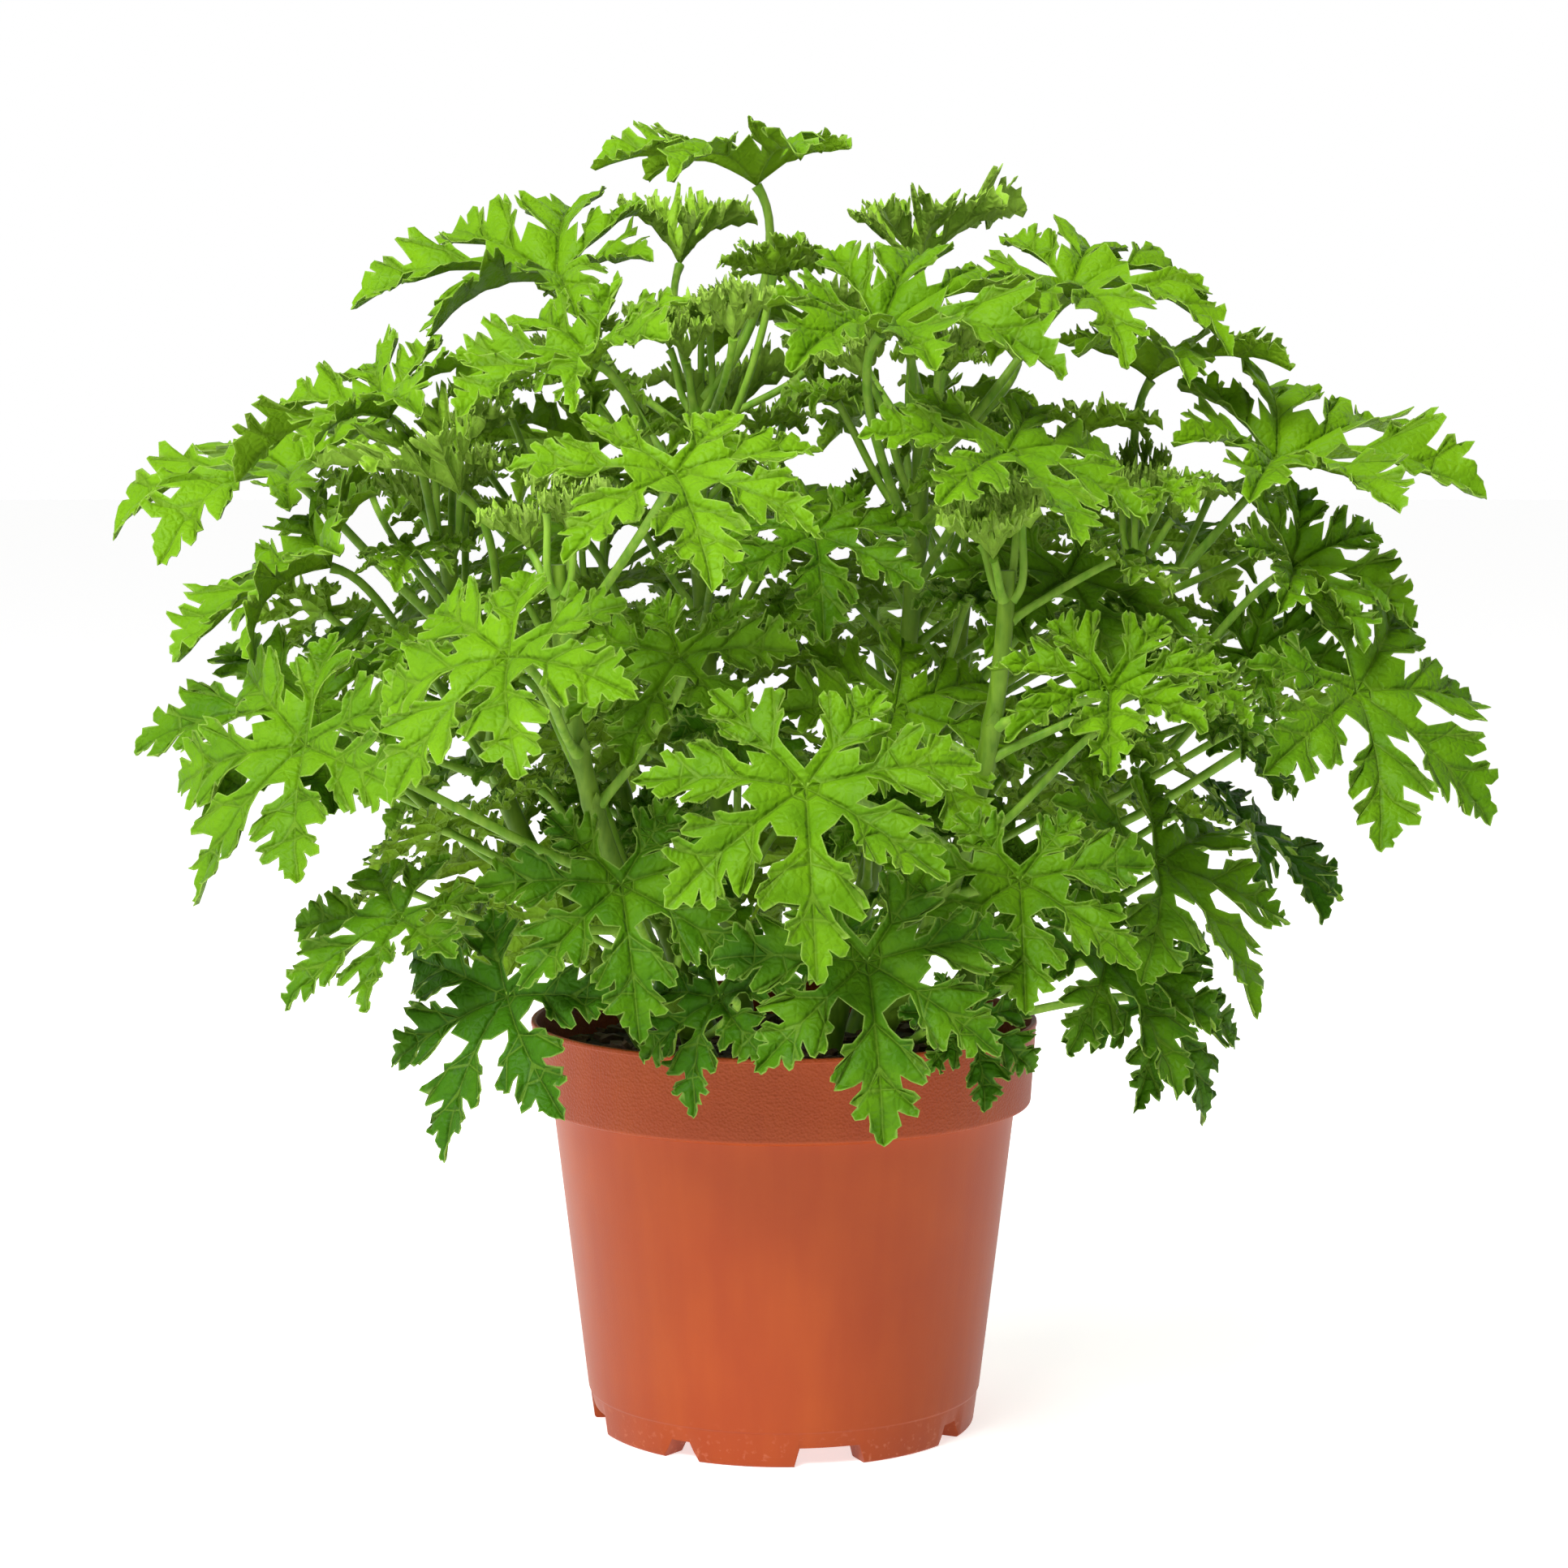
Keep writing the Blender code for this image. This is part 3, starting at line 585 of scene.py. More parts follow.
LOBE_ANGLES = (-142, -98, -50, 0, 50, 98, 142)
LOBE_LENGTHS = (0.68, 0.88, 0.92, 1.0, 0.92, 0.88, 0.68)
SINUS_REACH = 0.33
BASE_SINUS_REACH = 0.08
PLEAT = 16
FORMS = {
    "flat": (16, -30),
    "cup": (38, -30),
    "arch": (34, -52),
    "young": (62, 4),
}
# One side of a lobe from its sinus to its tip, as shares of its length: along it, and across it
# from the midrib.  Two blunt lobules stand out of it, each with a few rounded teeth.
LOBE_EDGE = (
    (0.320, 0.058), (0.400, 0.080), (0.450, 0.135), (0.470, 0.200), (0.505, 0.225), (0.535, 0.195),
    (0.575, 0.275), (0.615, 0.320), (0.655, 0.312), (0.660, 0.262), (0.700, 0.275), (0.716, 0.235),
    (0.680, 0.165), (0.650, 0.105), (0.705, 0.120), (0.745, 0.185), (0.778, 0.202), (0.788, 0.165),
    (0.830, 0.202), (0.864, 0.186), (0.858, 0.128), (0.828, 0.078), (0.880, 0.098), (0.912, 0.096),
    (0.918, 0.058), (0.956, 0.064), (0.980, 0.045), (0.982, 0.022),
)
LOBE_WIDTH = 0.9
LOBULE_TIPS = (7, 18)
LOBULE_TEETH = ((4, 10), (16,))
LOBULE_FEET = (0.40, 0.62)
NOMINAL_LENGTH = 52 * MM
BLADE_THICKNESS = 0.35 * MM
VARIANTS = 5
INSET = 0.75 * MM / NOMINAL_LENGTH
GRID = 2.9 * MM / NOMINAL_LENGTH


def polar(angle, reach):
    """A point of the blade's plane, at an angle in degrees from the middle lobe."""
    turn = math.radians(angle)
    return (reach * math.sin(turn), reach * math.cos(turn))


def lobe_side(chance):
    """One side of a lobe from its sinus to its tip, each lobule grown a little differently."""
    first, second, shift = chance.normal(0, 1, 3)
    line = []
    for place, (along, across) in enumerate(LOBE_EDGE):
        growth = 1 + 0.10 * (first if place < 13 else second)
        along += 0.012 * shift + 0.006 * chance.normal()
        line.append((min(along, 0.99), LOBE_WIDTH * across * growth + 0.007 * chance.normal()))
    return line


def lobe_veins(line, side):
    """The side veins of one side of a lobe: from the midrib to each lobule's tip and teeth."""
    veins = []
    for foot, place, teeth in zip(LOBULE_FEET, LOBULE_TIPS, LOBULE_TEETH):
        along, across = line[place]
        fork = (foot + 0.42 * (along - foot), side * 0.40 * across)
        veins.append(((foot - 0.04, 0.0), fork, (along - 0.02, side * across * 0.92)))
        for tooth in teeth:
            along, across = line[tooth]
            end = (fork[0] + 0.9 * (along - fork[0]), fork[1] + 0.9 * (side * across - fork[1]))
            veins.append((fork, end))
    return veins


def squeezed(angle, limit):
    """An angle away from a lobe's midrib, kept inside its share so that lobes never cross."""
    share = abs(angle) / limit
    if share > 0.7:
        share = 0.7 + 0.3 * math.tanh((share - 0.7) / 0.3)
    return math.copysign(share * limit, angle)


def blade_pattern(variant):
    """The outline and veins of one leaf in the plane, for a middle lobe of length 1."""
    chance = np.random.default_rng(40 + variant)
    outline = [polar(180, BASE_SINUS_REACH)]
    veins = []
    count = len(LOBE_ANGLES)
    for place, angle in enumerate(LOBE_ANGLES):
        reach = LOBE_LENGTHS[place] * (1 + 0.04 * chance.normal())
        before = (angle - LOBE_ANGLES[place - 1]) / 2 if place else 180 - abs(angle)
        after = (LOBE_ANGLES[place + 1] - angle) / 2 if place < count - 1 else 180 - abs(angle)
        sides = []
        for side, room in ((-1, before), (1, after)):
            line = lobe_side(chance)
            shaped_line = []
            for along, across in line:
                offset = squeezed(math.degrees(math.atan2(across, along)), room - 1.6)
                shaped_line.append(polar(angle + side * offset, reach * math.hypot(along, across)))
            sides.append(shaped_line)
            for vein in lobe_veins(line, side):
                placed = []
                for along, across in vein:
                    offset = squeezed(math.degrees(math.atan2(across, along)), room - 1.6)
                    placed.append(polar(angle + offset, reach * math.hypot(along, across)))
                veins.append(placed)
        outline += sides[0] + [polar(angle, reach)] + sides[1][::-1]
        veins.append([polar(angle, reach * share) for share in np.linspace(0, 0.97, 12)])
        if place < count - 1:
            outline.append(polar(angle + after, SINUS_REACH * (1 + 0.06 * chance.normal())))
    return np.array(outline), veins


def distance_to_lines(spots, starts, ends):
    """The distance from each spot to the nearest of the line pieces."""
    nearest = np.full(len(spots), 9.0)
    for start, end in zip(starts, ends):
        run = end - start
        share = np.clip(((spots - start) @ run) / max(run @ run, 1e-12), 0, 1)
        gap = spots - (start + share[:, None] * run)
        nearest = np.minimum(nearest, np.hypot(gap[:, 0], gap[:, 1]))
    return nearest


def inside(spots, outline):
    """Which spots lie inside the outline."""
    within = np.zeros(len(spots), dtype=bool)
    for start, end in zip(outline, np.roll(outline, -1, axis=0)):
        crosses = (start[1] > spots[:, 1]) != (end[1] > spots[:, 1])
        rise = end[1] - start[1]
        if abs(rise) > 1e-12:
            meets = start[0] + (spots[:, 1] - start[1]) * (end[0] - start[0]) / rise
            within ^= crosses & (spots[:, 0] < meets)
    return within


def flat_blade(variant, spacing, fringe):
    """The triangulated flat blade: its points, faces, edge loop and distances to edge and vein.

    The fringe is a row of points just inside the edge, which lets the margin curl.  A blade
    without it also leaves out the veins that run to the teeth.
    """
    outline, veins = blade_pattern(variant)
    if not fringe:
        veins = [vein for vein in veins if len(vein) > 2]
    ends = np.roll(outline, -1, axis=0)
    tangent = ends - np.roll(outline, 1, axis=0)
    inward = np.stack([tangent[:, 1], -tangent[:, 0]], axis=1)
    inward /= np.maximum(np.hypot(inward[:, 0], inward[:, 1]), 1e-9)[:, None]
    turning = np.sum(outline[:, 0] * ends[:, 1] - ends[:, 0] * outline[:, 1])
    if turning > 0:
        inward = -inward
    inset = (outline + inward * INSET)[:len(outline) if fringe else 0]
    inset = inset[inside(inset, outline)]
    inset = inset[distance_to_lines(inset, outline, ends) > 0.6 * INSET]
    vein_starts = np.array([start for vein in veins for start in vein[:-1]])
    vein_ends = np.array([end for vein in veins for end in vein[1:]])
    chance = np.random.default_rng(90 + variant)
    rows = np.arange(-1.05, 1.1, spacing * 0.866)
    grid = np.array([(x + (row % 2) * spacing / 2, y) for row, y in enumerate(rows)
                     for x in np.arange(-1.05, 1.1, spacing)])
    grid += chance.uniform(-0.18, 0.18, grid.shape) * spacing
    grid = grid[inside(grid, outline)]
    grid = grid[distance_to_lines(grid, outline, ends) > (1.7 if fringe else 1.5) * INSET]
    grid = grid[distance_to_lines(grid, vein_starts, vein_ends) > 0.5 * spacing]
    spots = [Vector(spot) for spot in np.concatenate([outline, inset, grid])]
    edges = []
    for vein in veins:
        first = len(spots)
        spots += [Vector(spot) for spot in vein]
        edges += [(index, index + 1) for index in range(first, len(spots) - 1)]
    loop = list(range(len(outline)))
    flat, _, triangles, _, _, _ = delaunay_2d_cdt(spots, edges, [loop], 1, 1e-6)
    flat = np.array([tuple(spot) for spot in flat])
    triangles = np.array(triangles)
    edge_gap = distance_to_lines(flat, outline, ends)
    vein_gap = distance_to_lines(flat, vein_starts, vein_ends)
    # A triangle with every corner on a vein or on the edge would hide how far its middle is from it.
    for _ in range(2):
        middles = flat[triangles].mean(axis=1)
        middle_edge = distance_to_lines(middles, outline, ends)
        middle_vein = distance_to_lines(middles, vein_starts, vein_ends)
        flush = (middle_vein > 0.006) & (vein_gap[triangles].max(axis=1) < 0.4 * middle_vein)
        flush |= (middle_edge > 0.005) & (edge_gap[triangles].max(axis=1) < 0.4 * middle_edge)
        a, b, c = triangles[flush].T
        new = len(flat) + np.arange(len(a))
        flat = np.concatenate([flat, middles[flush]])
        edge_gap = np.concatenate([edge_gap, middle_edge[flush]])
        vein_gap = np.concatenate([vein_gap, middle_vein[flush]])
        poked = [np.stack(corners, axis=1) for corners in ((a, b, new), (b, c, new), (c, a, new))]
        triangles = np.concatenate([triangles[~flush]] + poked)
    sides = np.concatenate([triangles[:, [0, 1]], triangles[:, [1, 2]], triangles[:, [2, 0]]])
    sides = np.sort(sides, axis=1)
    pairs, counts = np.unique(sides, axis=0, return_counts=True)
    return flat, triangles, pairs[counts == 1], edge_gap, vein_gap


def leaf_axes(leaf):
    """The blade's own axes: along the middle lobe, to its right and out of its upper face."""
    level = heading(leaf.aim)
    dip = math.radians(leaf.dip)
    roll = math.radians(leaf.roll)
    up = Vector((0, 0, 1))
    along = level * math.cos(dip) - up * math.sin(dip)
    normal = level * math.sin(dip) + up * math.cos(dip)
    right = along.cross(normal)
    normal = normal * math.cos(roll) + right * math.sin(roll)
    return along, along.cross(normal), normal


def leaf_base(leaf):
    """Where the stalk meets the blade."""
    return heading(leaf.bearing) * leaf.reach * MM + Vector((0, 0, leaf.height * MM))


def curved_blade(leaf, pattern, chance):
    """The blade's upper surface: bent, pleated between its lobes, puckered and ruffled."""
    flat, _, _, edge_gap, vein_gap = pattern
    length = leaf.length * MM
    lift, droop = (math.radians(angle) for angle in FORMS[leaf.form])
    crinkle = {"flat": 1.25, "cup": 1.7, "arch": 1.6, "young": 2.2}[leaf.form]
    fold = {"flat": 1.0, "cup": 1.5, "arch": 1.4, "young": 1.8}[leaf.form]
    reach = np.hypot(flat[:, 0], flat[:, 1])
    direction = flat / np.maximum(reach, 1e-9)[:, None]
    bend = droop - lift
    level = (np.sin(lift + bend * reach) - math.sin(lift)) / bend
    rise = (math.cos(lift) - np.cos(lift + bend * reach)) / bend
    bearing = np.degrees(np.arctan2(flat[:, 0], flat[:, 1]))
    nearest = reach.copy()
    lobe = np.argmin(np.abs(bearing[:, None] - np.array(LOBE_ANGLES)), axis=1)
    across = np.zeros(len(flat))
    for place, angle in enumerate(LOBE_ANGLES):
        axis = np.array(polar(angle, 1.0))
        gap = flat[:, 0] * axis[1] - flat[:, 1] * axis[0]
        ahead = flat @ axis > 0
        nearest = np.where(ahead, np.minimum(nearest, np.abs(gap)), nearest)
        across = np.where(lobe == place, gap, across)
    pleat = math.tan(math.radians(PLEAT * fold)) * nearest
    pucker = 1.5 * crinkle * MM / length * (1 - np.exp(-vein_gap * length / (2.2 * MM)))
    wave = chance.uniform(0, 2 * math.pi, 4)
    ruffle = np.sin(25 * flat[:, 0] + wave[0]) * np.sin(21 * flat[:, 1] + wave[1])
    ruffle += 0.6 * np.sin(47 * flat[:, 0] + wave[2]) * np.sin(43 * flat[:, 1] + wave[3])
    ruffle *= 1.0 * crinkle * MM / length * np.exp(-edge_gap * length / (5.0 * MM)) * np.minimum(1, reach * 2)
    outer = np.clip(reach - SINUS_REACH, 0, 1) ** 1.5
    sway = chance.normal(0, 0.10, len(LOBE_ANGLES))[lobe] * outer
    twist = chance.normal(0, 0.30, len(LOBE_ANGLES))[lobe] * across * np.clip(reach - SINUS_REACH, 0, 1) * 2
    height = rise + pleat + pucker + ruffle + sway + twist
    along, right, normal = (np.array(axis) for axis in leaf_axes(leaf))
    spread = direction * level[:, None]
    surface = spread[:, :1] * right + spread[:, 1:] * along + height[:, None] * normal
    return np.array(leaf_base(leaf)) + surface * length


def surface_normals(surface, triangles):
    """Unit normals at the points of a triangulated surface."""
    corners = surface[triangles]
    face_normals = np.cross(corners[:, 1] - corners[:, 0], corners[:, 2] - corners[:, 0])
    normals = np.zeros_like(surface)
    for corner in range(3):
        np.add.at(normals, triangles[:, corner], face_normals)
    return normals / np.maximum(np.linalg.norm(normals, axis=1), 1e-12)[:, None]


def stalk_path(leaf, steps=17):
    """The stalk's centre line, from inside the blade's base down into the side of its shoot."""
    shoot = next(row for row in SHOOTS if row.name == leaf.shoot)
    controls = shoot_controls(shoot)
    base = leaf_base(leaf)
    joint = bezier(controls, leaf.node)
    grow = (bezier(controls, min(leaf.node + 0.02, 1)) - bezier(controls, leaf.node - 0.02)).normalized()
    away = base - joint
    away = (away - grow * away.dot(grow)).normalized()
    end = joint + away * shoot_radius(leaf.node) * 0.7
    along, _, normal = leaf_axes(leaf)
    entry = (along * 0.6 + normal * 0.8).normalized()
    span = (base - end).length
    line = [
        base - normal * 0.2 * MM,
        base - entry * min(0.26 * span, 20 * MM),
        end + (away * 0.7 + grow * 0.5).normalized() * 0.3 * span,
        end,
    ]
    return [bezier(line, step / (steps - 1)) for step in range(steps)]


def whole_leaf(leaf, pattern, chance):
    """Points, faces, face slots and per-point facts of one leaf: its thin closed blade and its stalk."""
    flat, triangles, rim, edge_gap, vein_gap = pattern
    upper = curved_blade(leaf, pattern, chance)
    normals = surface_normals(upper, triangles)
    if normals.mean(axis=0) @ np.array(leaf_axes(leaf)[2]) < 0:
        triangles = triangles[:, ::-1]
        normals = -normals
    lower = upper - normals * BLADE_THICKNESS
    count = len(upper)
    directed = {(a, b) for face in triangles for a, b in zip(face, np.roll(face, -1))}
    faces = [tuple(face) for face in triangles]
    faces += [tuple(index + count for index in reversed(face)) for face in faces]
    for a, b in rim:
        if (a, b) not in directed:
            a, b = b, a
        faces.append((b, a, a + count, b + count))
    path = stalk_path(leaf)
    thick = (1.15 + 0.006 * leaf.length) * MM
    radii = []
    for place in range(len(path)):
        share = place / (len(path) - 1)
        flare = 0.35 * math.exp(-share / 0.04) + 0.55 * math.exp(-(1 - share) / 0.05)
        radii.append(thick * (1 + flare) * (0.94 + 0.12 * share))
    tube_points, tube_faces = tube(path, radii, 10)
    slots = [0] * len(faces) + [1] * len(tube_faces)
    faces += [tuple(index + 2 * count for index in face) for face in tube_faces]
    points = np.concatenate([upper, lower, np.array(tube_points)])
    far = np.full(len(tube_points), 9.0)
    length = leaf.length
    facts = {
        "edge_gap": np.concatenate([edge_gap * length, edge_gap * length, far]),
        "vein_gap": np.concatenate([vein_gap * length, vein_gap * length, far]),
        "underside": np.concatenate([np.zeros(count), np.ones(count), far * 0]),
    }
    youth = min(1.0, max(0.0, (leaf.node - 0.25) / 0.7)) + 0.10 * chance.normal()
    facts["youth"] = np.full(len(points), youth)
    return points, faces, slots, facts


def leaf_blade(name, old, fresh, under):
    """Living leaf: dull, softly hairy skin with sunken veins and a pale hairy margin.

    Light that falls on one side shines through yellow-green on the other.
    """
    material, tree, output = new_material(name)
    place = node(tree, "TexCoord")
    facts = {}
    for fact in ("edge_gap", "vein_gap", "underside", "youth"):
        facts[fact] = node(tree, "Attribute", {"attribute_name": fact}).outputs["Fac"]
    patch = node(tree, "TexNoise", links={0: place.outputs["Object"]}, Scale=1 / (16 * MM), Detail=3.0)
    shift = node(tree, "MapRange", links={0: patch.outputs[0]}, From_Min=0.3, From_Max=0.7,
                 To_Min=-0.22, To_Max=0.22)
    youth = node(tree, "Math", {"operation": "ADD", "use_clamp": True},
                 {0: facts["youth"], 1: shift.outputs[0]})
    flesh = node(tree, "Mix", {"data_type": "RGBA"}, {0: youth.outputs[0]})
    flesh.inputs[6].default_value = linear(old)
    flesh.inputs[7].default_value = linear(fresh)
    back = node(tree, "Mix", {"data_type": "RGBA"}, {0: facts["underside"], 6: flesh.outputs[2]})
    back.inputs[7].default_value = linear(under)
    # Painted shade: the flesh is drawn darker in the channel along each vein, about 1 mm to either side,
    # where shade falls into it.
    furrow_painted_shade = node(tree, "MapRange", {"interpolation_type": "SMOOTHSTEP"}, {0: facts["vein_gap"]},
                  From_Min=0.1, From_Max=1.1, To_Min=0.70, To_Max=1.02)
    shaded = node(tree, "HueSaturation", links={"Color": back.outputs[2], "Value": furrow_painted_shade.outputs[0]})
    # Veins are 0.3 to 0.5 mm wide, pale against the flesh.
    vein = node(tree, "MapRange", {"interpolation_type": "SMOOTHSTEP"}, {0: facts["vein_gap"]},
                From_Min=0.05, From_Max=0.35, To_Min=0.22, To_Max=0.0)
    veined = node(tree, "Mix", {"data_type": "RGBA"}, {0: vein.outputs[0], 6: shaded.outputs[0]})
    veined.inputs[7].default_value = linear("#8FB63C")
    # The margin's hairs read as a pale line 0.5 mm wide.
    margin = node(tree, "MapRange", {"interpolation_type": "SMOOTHSTEP"}, {0: facts["edge_gap"]},
                  From_Min=0.05, From_Max=0.45, To_Min=0.28, To_Max=0.0)
    colour = node(tree, "Mix", {"data_type": "RGBA"}, {0: margin.outputs[0], 6: veined.outputs[2]})
    colour.inputs[7].default_value = linear("#AEC868")
    # Cells and hair bases: a pebbled skin, about 0.8 mm from bump to bump.
    cells = node(tree, "TexNoise", links={0: place.outputs["Object"]}, Scale=1 / (0.9 * MM), Detail=2.0)
    # A net of veinlets, 3 mm from line to line, between which the flesh stands up in blisters.
    net = node(tree, "TexVoronoi", {"feature": "DISTANCE_TO_EDGE"}, {0: place.outputs["Object"]},
               Scale=1 / (3.2 * MM))
    blister = node(tree, "MapRange", {"interpolation_type": "SMOOTHSTEP"}, {0: net.outputs[0]},
                   From_Min=0.0, From_Max=0.30)
    groove = node(tree, "MapRange", {"interpolation_type": "SMOOTHSTEP"}, {0: facts["vein_gap"]},
                  From_Min=0.0, From_Max=1.1)
    grooves = node(tree, "Bump", links={"Height": groove.outputs[0]}, Strength=0.6, Distance=0.45 * MM)
    blisters = node(tree, "Bump", links={"Height": blister.outputs[0], "Normal": grooves.outputs[0]},
                    Strength=0.7, Distance=0.35 * MM)
    bump = node(tree, "Bump", links={"Height": cells.outputs[0], "Normal": blisters.outputs[0]},
                Strength=0.5, Distance=0.25 * MM)
    shader = node(tree, "BsdfPrincipled", links={"Base Color": colour.outputs[2], "Normal": bump.outputs[0]},
                  Roughness=0.5, IOR=1.4)
    shader.inputs["Specular IOR Level"].default_value = 0.15
    shader.inputs["Sheen Weight"].default_value = 0.04
    shader.inputs["Sheen Roughness"].default_value = 0.5
    shader.inputs["Sheen Tint"].default_value = linear("#CFE39A")
    glow = node(tree, "HueSaturation", links={"Color": colour.outputs[2]},
                Hue=0.48, Saturation=1.1, Value=1.3)
    through = node(tree, "BsdfTranslucent", links={"Color": glow.outputs[0], "Normal": bump.outputs[0]})
    both = node(tree, "MixShader", links={1: shader.outputs[0], 2: through.outputs[0]}, Fac=0.24)
    tree.links.new(both.outputs[0], output.inputs["Surface"])
    return material


LEAF_BLADE = leaf_blade("geranium_leaf", "#366606", "#6E9E0E", "#729C18")
YOUNG_BLADE = leaf_blade("young_geranium_leaf", "#6A9C16", "#90BC30", "#8CB23C")
STALK_SKIN = green_stem("leaf_stalk_skin", "#5C8A1A", "#7FA234")
FINE = [flat_blade(variant, GRID, True) for variant in range(VARIANTS)]
COARSE = [flat_blade(variant, 1.6 * GRID, False) for variant in range(VARIANTS)]


def leaf_piece(name, leaves, seed, patterns, young=False):
    """One object made of one or more whole leaves."""
    points = []
    faces = []
    slots = []
    facts = {}
    count = 0
    for number, leaf in enumerate(leaves):
        chance = np.random.default_rng(seed + number)
        pattern = patterns[(seed + number) % VARIANTS]
        new_points, new_faces, new_slots, new_facts = whole_leaf(leaf, pattern, chance)
        points.append(new_points)
        faces += [tuple(int(index) + count for index in face) for face in new_faces]
        slots += new_slots
        for fact, values in new_facts.items():
            facts.setdefault(fact, []).append(values)
        count += len(new_points)
    blade = YOUNG_BLADE if young else LEAF_BLADE
    piece = mesh_object(name, np.concatenate(points), faces, [blade, STALK_SKIN], slots, sharp_angle=60)
    for fact, values in facts.items():
        layer = piece.data.attributes.new(fact, "FLOAT", "POINT")
        layer.data.foreach_set("value", np.concatenate(values).astype(np.float32))
    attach(piece, "root")
    return piece


numbers = {}
for seed, leaf in enumerate(LEAVES):
    numbers[leaf.shoot] = numbers.get(leaf.shoot, 0) + 1
    label = f"{leaf.shoot}_{numbers[leaf.shoot]}"
    piece = leaf_piece("geranium_leaf_" + label, [leaf], 200 + seed, FINE, leaf.form == "young")
    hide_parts("leaf_" + label)


# ---- Inner leaves and young tips ------------------------------------------------------------
# Smaller leaves fill the inside of the plant, each where it touches no other, and each shoot ends
# in a tuft of small leaves that are still folded like fans along their veins.

TIP_LEAVES = 4
INNER_TRIES = 3000
CELL = 2.1 * MM
CELLS = np.array((240, 215, 225))
CELLS_LOW = np.array((-0.25, -0.225, 0.0))
taken = np.zeros(CELLS, dtype=bool)


def cells_of(spots):
    """The cells of the space round the plant that hold the given points."""
    cells = ((np.asarray(spots) - CELLS_LOW) / CELL).astype(int)
    return np.clip(cells, 1, CELLS - 2)


def claim(spots):
    """Marks the cells of these points, and those that share a face with them, as taken."""
    for step in ((0, 0, 0), (1, 0, 0), (-1, 0, 0), (0, 1, 0), (0, -1, 0), (0, 0, 1), (0, 0, -1)):
        near = cells_of(spots) + np.array(step)
        taken[near[:, 0], near[:, 1], near[:, 2]] = True


def is_free(spots):
    """Whether none of these points lies in a taken cell."""
    cells = cells_of(spots)
    return not taken[cells[:, 0], cells[:, 1], cells[:, 2]].any()


def stalk_reach(leaf):
    """Points along the leaf's stalk, clear of the shoot."""
    return np.array([tuple(spot) for spot in stalk_path(leaf, 70)[:58]])


def reach_of(leaf, seed):
    """Points over the leaf's blade and along its stalk."""
    return curved_blade(leaf, FINE[seed % VARIANTS], np.random.default_rng(seed)), stalk_reach(leaf)


def sprout(shoot, chance):
    """A leaf like the others, thrown out at random from some joint of the shoot."""
    share = chance.uniform(0.35, 0.99)
    joint = bezier(shoot_controls(shoot), share)
    spread = 170 if shoot.name.startswith("top") else 95
    aim = shoot.bearing + chance.uniform(-spread, spread)
    climb = math.radians(chance.uniform(15, 65))
    stalk = chance.uniform(22, 80) * MM
    place = joint + (heading(aim) * math.cos(climb) + Vector((0, 0, math.sin(climb)))) * stalk
    height = place.z / MM
    dip = 44 - 46 * (height - 150) / 240 + chance.normal(0, 8)
    length = chance.uniform(22, 48) - 4 * (height > 340)
    form = ("young", "cup", "arch")[chance.integers(3)] if height > 320 else "flat"
    return Leaf(shoot.name, share, math.degrees(math.atan2(place.x, -place.y)),
                math.hypot(place.x, place.y) / MM, height, aim + chance.normal(0, 15), dip,
                chance.normal(0, 12), length, form)


for shoot in SHOOTS:
    claim([tuple(bezier(shoot_controls(shoot), step / 150)) for step in range(151)])
for seed, leaf in enumerate(LEAVES):
    for spots in reach_of(leaf, 200 + seed):
        claim(spots)
inner = {shoot.name: [] for shoot in SHOOTS}
young = {shoot.name: [] for shoot in SHOOTS}
for number, shoot in enumerate(SHOOTS):
    tip = heading(shoot.bearing) * shoot.tip_reach
    for turn in range(TIP_LEAVES):
        aim = shoot.bearing + 360 * turn / TIP_LEAVES + 25 * number
        place = tip + heading(aim) * (5 + 2 * turn)
        bearing = math.degrees(math.atan2(place.x, -place.y))
        height = shoot.tip_height + 16 - 4 * turn
        leaf = Leaf(shoot.name, 0.97, bearing, place.length, height, aim, -25 + 12 * turn, 0,
                    15 + 3 * turn, "young")
        young[shoot.name].append(leaf)
        claim(reach_of(leaf, 600 + 40 * number + turn)[0])
chance = np.random.default_rng(23)
for _ in range(INNER_TRIES):
    for number, shoot in enumerate(SHOOTS):
        leaf = sprout(shoot, chance)
        base = leaf_base(leaf)
        if not (0.155 <= base.z <= 0.392 and -0.085 <= base.y <= 0.17 and abs(base.x) <= 0.17):
            continue
        crowd = young if leaf.form == "young" else inner
        seed = (600 if leaf.form == "young" else 400) + 40 * number + len(crowd[shoot.name])
        if not is_free(stalk_reach(leaf)):
            continue
        blade, stalk = reach_of(leaf, seed)
        if blade.max(axis=0)[2] > cad_box[1].z or not is_free(blade):
            continue
        crowd[shoot.name].append(leaf)
        claim(blade)
        claim(stalk)
for number, shoot in enumerate(SHOOTS):
    if inner[shoot.name]:
        leaf_piece("inner_leaves_" + shoot.name, inner[shoot.name], 400 + 40 * number, COARSE)
    leaf_piece("young_leaves_" + shoot.name, young[shoot.name], 600 + 40 * number, COARSE, young=True)


# ---- Floor, light and camera ----------------------------------------------------------------
# A pale seamless floor, a soft key light high on the left, and a weaker side light lower on the left.

CAMERA_DISTANCE = 1.2
CAMERA_HEIGHT = 0.329
CAMERA_DIP = 5.4
CAMERA_LENS = 82.7


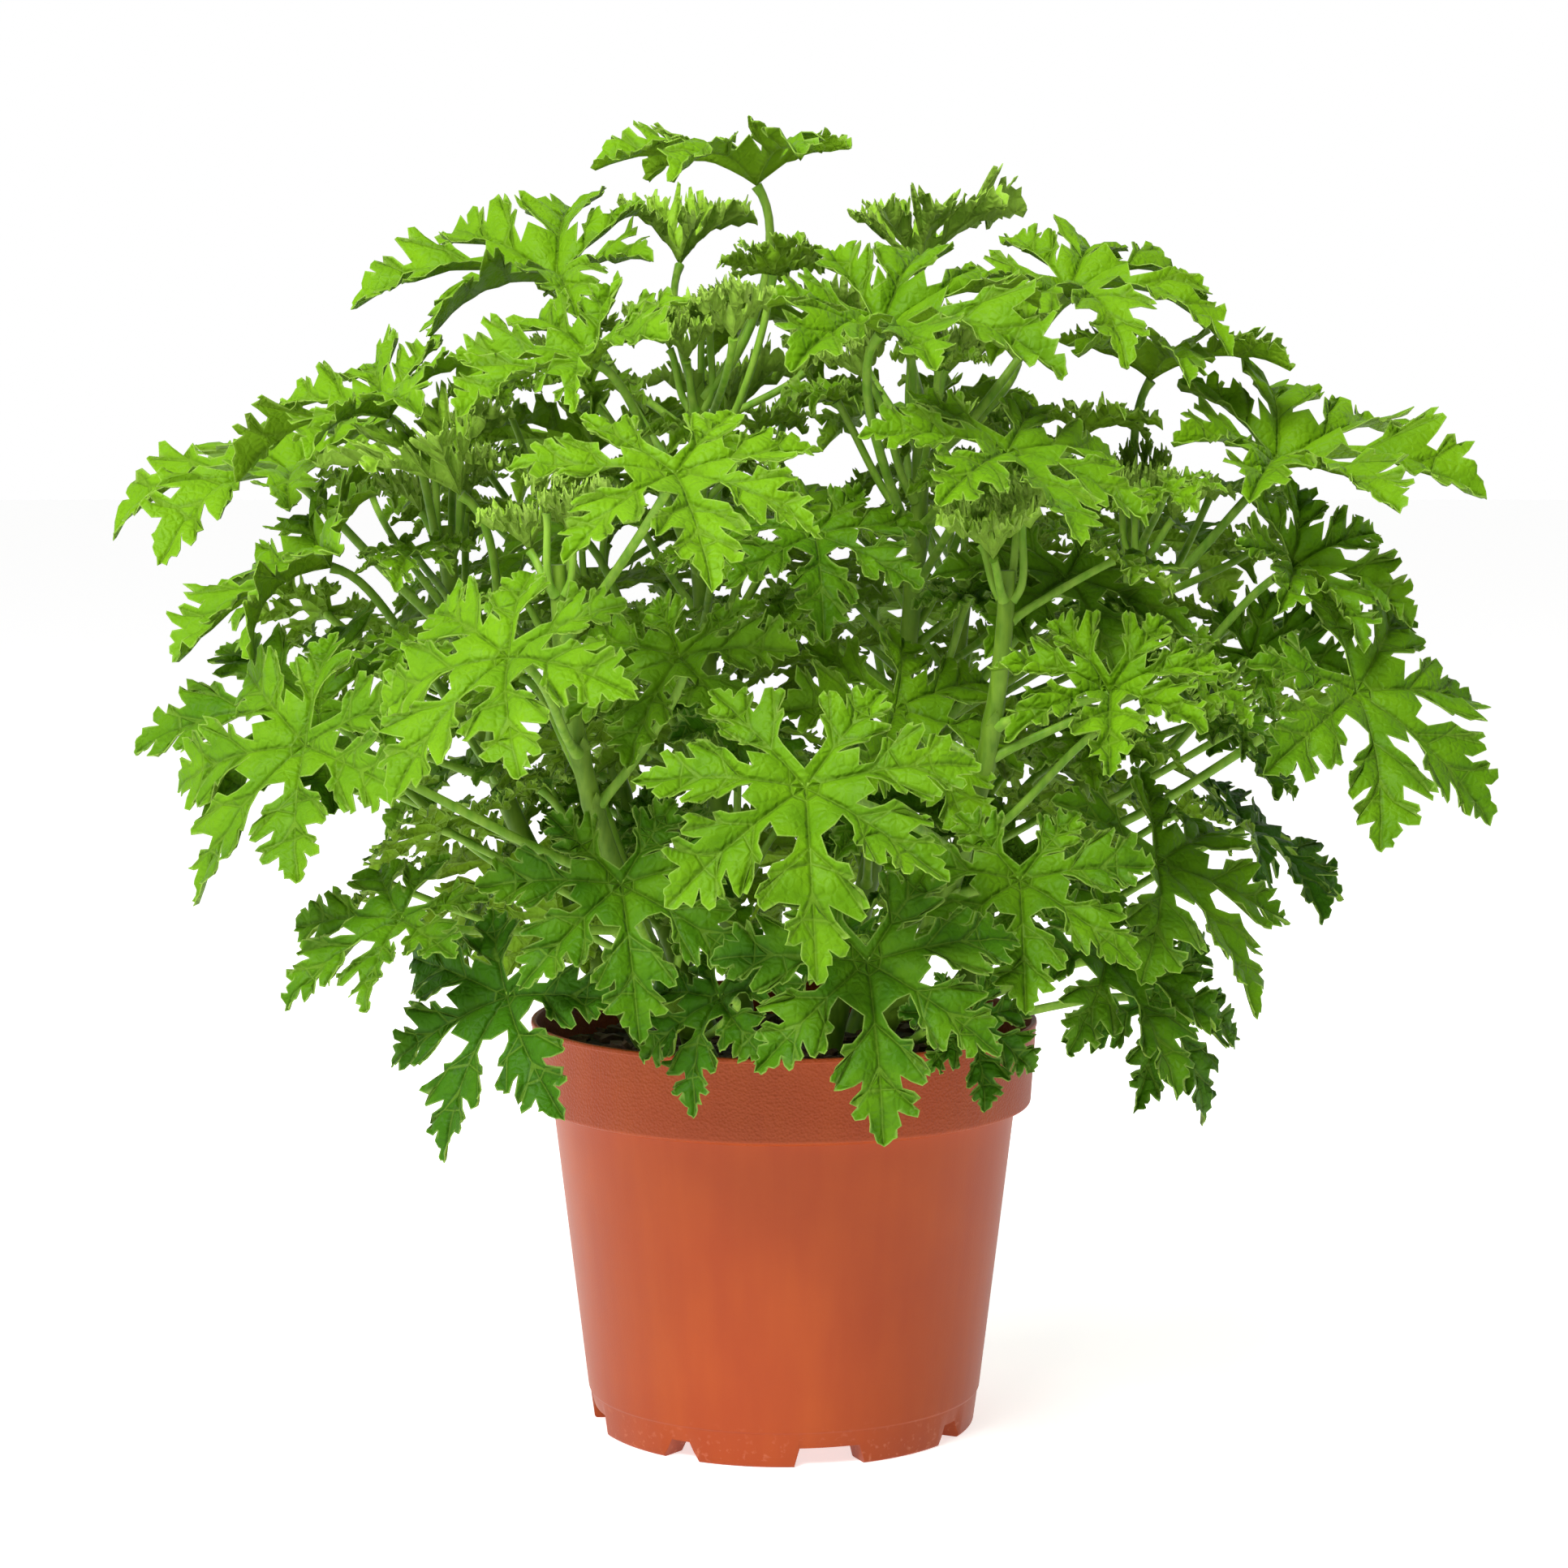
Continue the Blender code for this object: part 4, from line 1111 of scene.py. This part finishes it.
def pale_paper():
    """Seamless background paper: matt and almost white."""
    material, tree, output = new_material("background_paper")
    place = node(tree, "TexCoord")
    fibre = node(tree, "TexNoise", links={0: place.outputs["Object"]}, Scale=1 / (40 * MM))
    colour = node(tree, "Mix", {"data_type": "RGBA"}, {0: fibre.outputs[0]})
    colour.inputs[6].default_value = linear("#F6F6F5")
    colour.inputs[7].default_value = linear("#FAFAF9")
    shader = node(tree, "BsdfPrincipled", links={"Base Color": colour.outputs[2]}, Roughness=0.9)
    shader.inputs["Specular IOR Level"].default_value = 0.0
    shader.inputs["Emission Color"].default_value = (1, 1, 1, 1)
    shader.inputs["Emission Strength"].default_value = 0.66
    tree.links.new(shader.outputs[0], output.inputs["Surface"])
    return material


floor_size = 20.0
floor_corners = [(-floor_size, -floor_size, 0), (floor_size, -floor_size, 0),
                 (floor_size, floor_size, 0), (-floor_size, floor_size, 0)]
floor = mesh_object("paper_floor", floor_corners, [(0, 1, 2, 3)], [pale_paper()])

scene = bpy.context.scene
world = bpy.data.worlds.new("soft_studio")
world.use_nodes = True
world.node_tree.nodes.clear()
sky = world.node_tree
toward = node(sky, "TexCoord")
parts = node(sky, "SeparateXYZ", links={0: toward.outputs["Generated"]})
# White behind the plant, darker overhead and toward the room in front of it.
behind = node(sky, "MapRange", {"interpolation_type": "SMOOTHSTEP"}, {0: parts.outputs["Y"]},
              From_Min=-0.3, From_Max=0.6, To_Min=0.14, To_Max=1.0)
overhead = node(sky, "MapRange", {"interpolation_type": "SMOOTHSTEP"}, {0: parts.outputs["Z"]},
                From_Min=0.2, From_Max=0.7, To_Min=1.0, To_Max=0.6)
strength = node(sky, "Math", {"operation": "MULTIPLY"}, {0: behind.outputs[0], 1: overhead.outputs[0]})
surround = node(sky, "Background", links={"Strength": strength.outputs[0]}, Color=(1, 1, 1, 1))
sky_output = sky.nodes.new("ShaderNodeOutputWorld")
sky.links.new(surround.outputs[0], sky_output.inputs["Surface"])
scene.world = world


def soft_box(name, place, target, size, power):
    """A square soft box aimed at a point."""
    light = bpy.data.lights.new(name, "AREA")
    light.shape = "SQUARE"
    light.size = size
    light.energy = power
    lamp = bpy.data.objects.new(name, light)
    lamp.location = place
    lamp.rotation_euler = (Vector(target) - Vector(place)).to_track_quat("-Z", "Y").to_euler()
    scene.collection.objects.link(lamp)


soft_box("key_light", (-0.45, -1.05, 1.45), (0, 0, 0.25), 0.8, 46)
soft_box("side_light", (-1.5, -0.7, 0.8), (0, 0, 0.12), 0.6, 7)
scene.view_settings.view_transform = "Standard"

camera = bpy.data.cameras.new("camera")
camera.lens = CAMERA_LENS
camera.sensor_width = 36
camera_stand = bpy.data.objects.new("camera", camera)
camera_stand.location = (0, -CAMERA_DISTANCE, CAMERA_HEIGHT)
camera_stand.rotation_euler = (math.radians(90 - CAMERA_DIP), 0, 0)
scene.collection.objects.link(camera_stand)
scene.camera = camera_stand

bpy.context.view_layer.update()
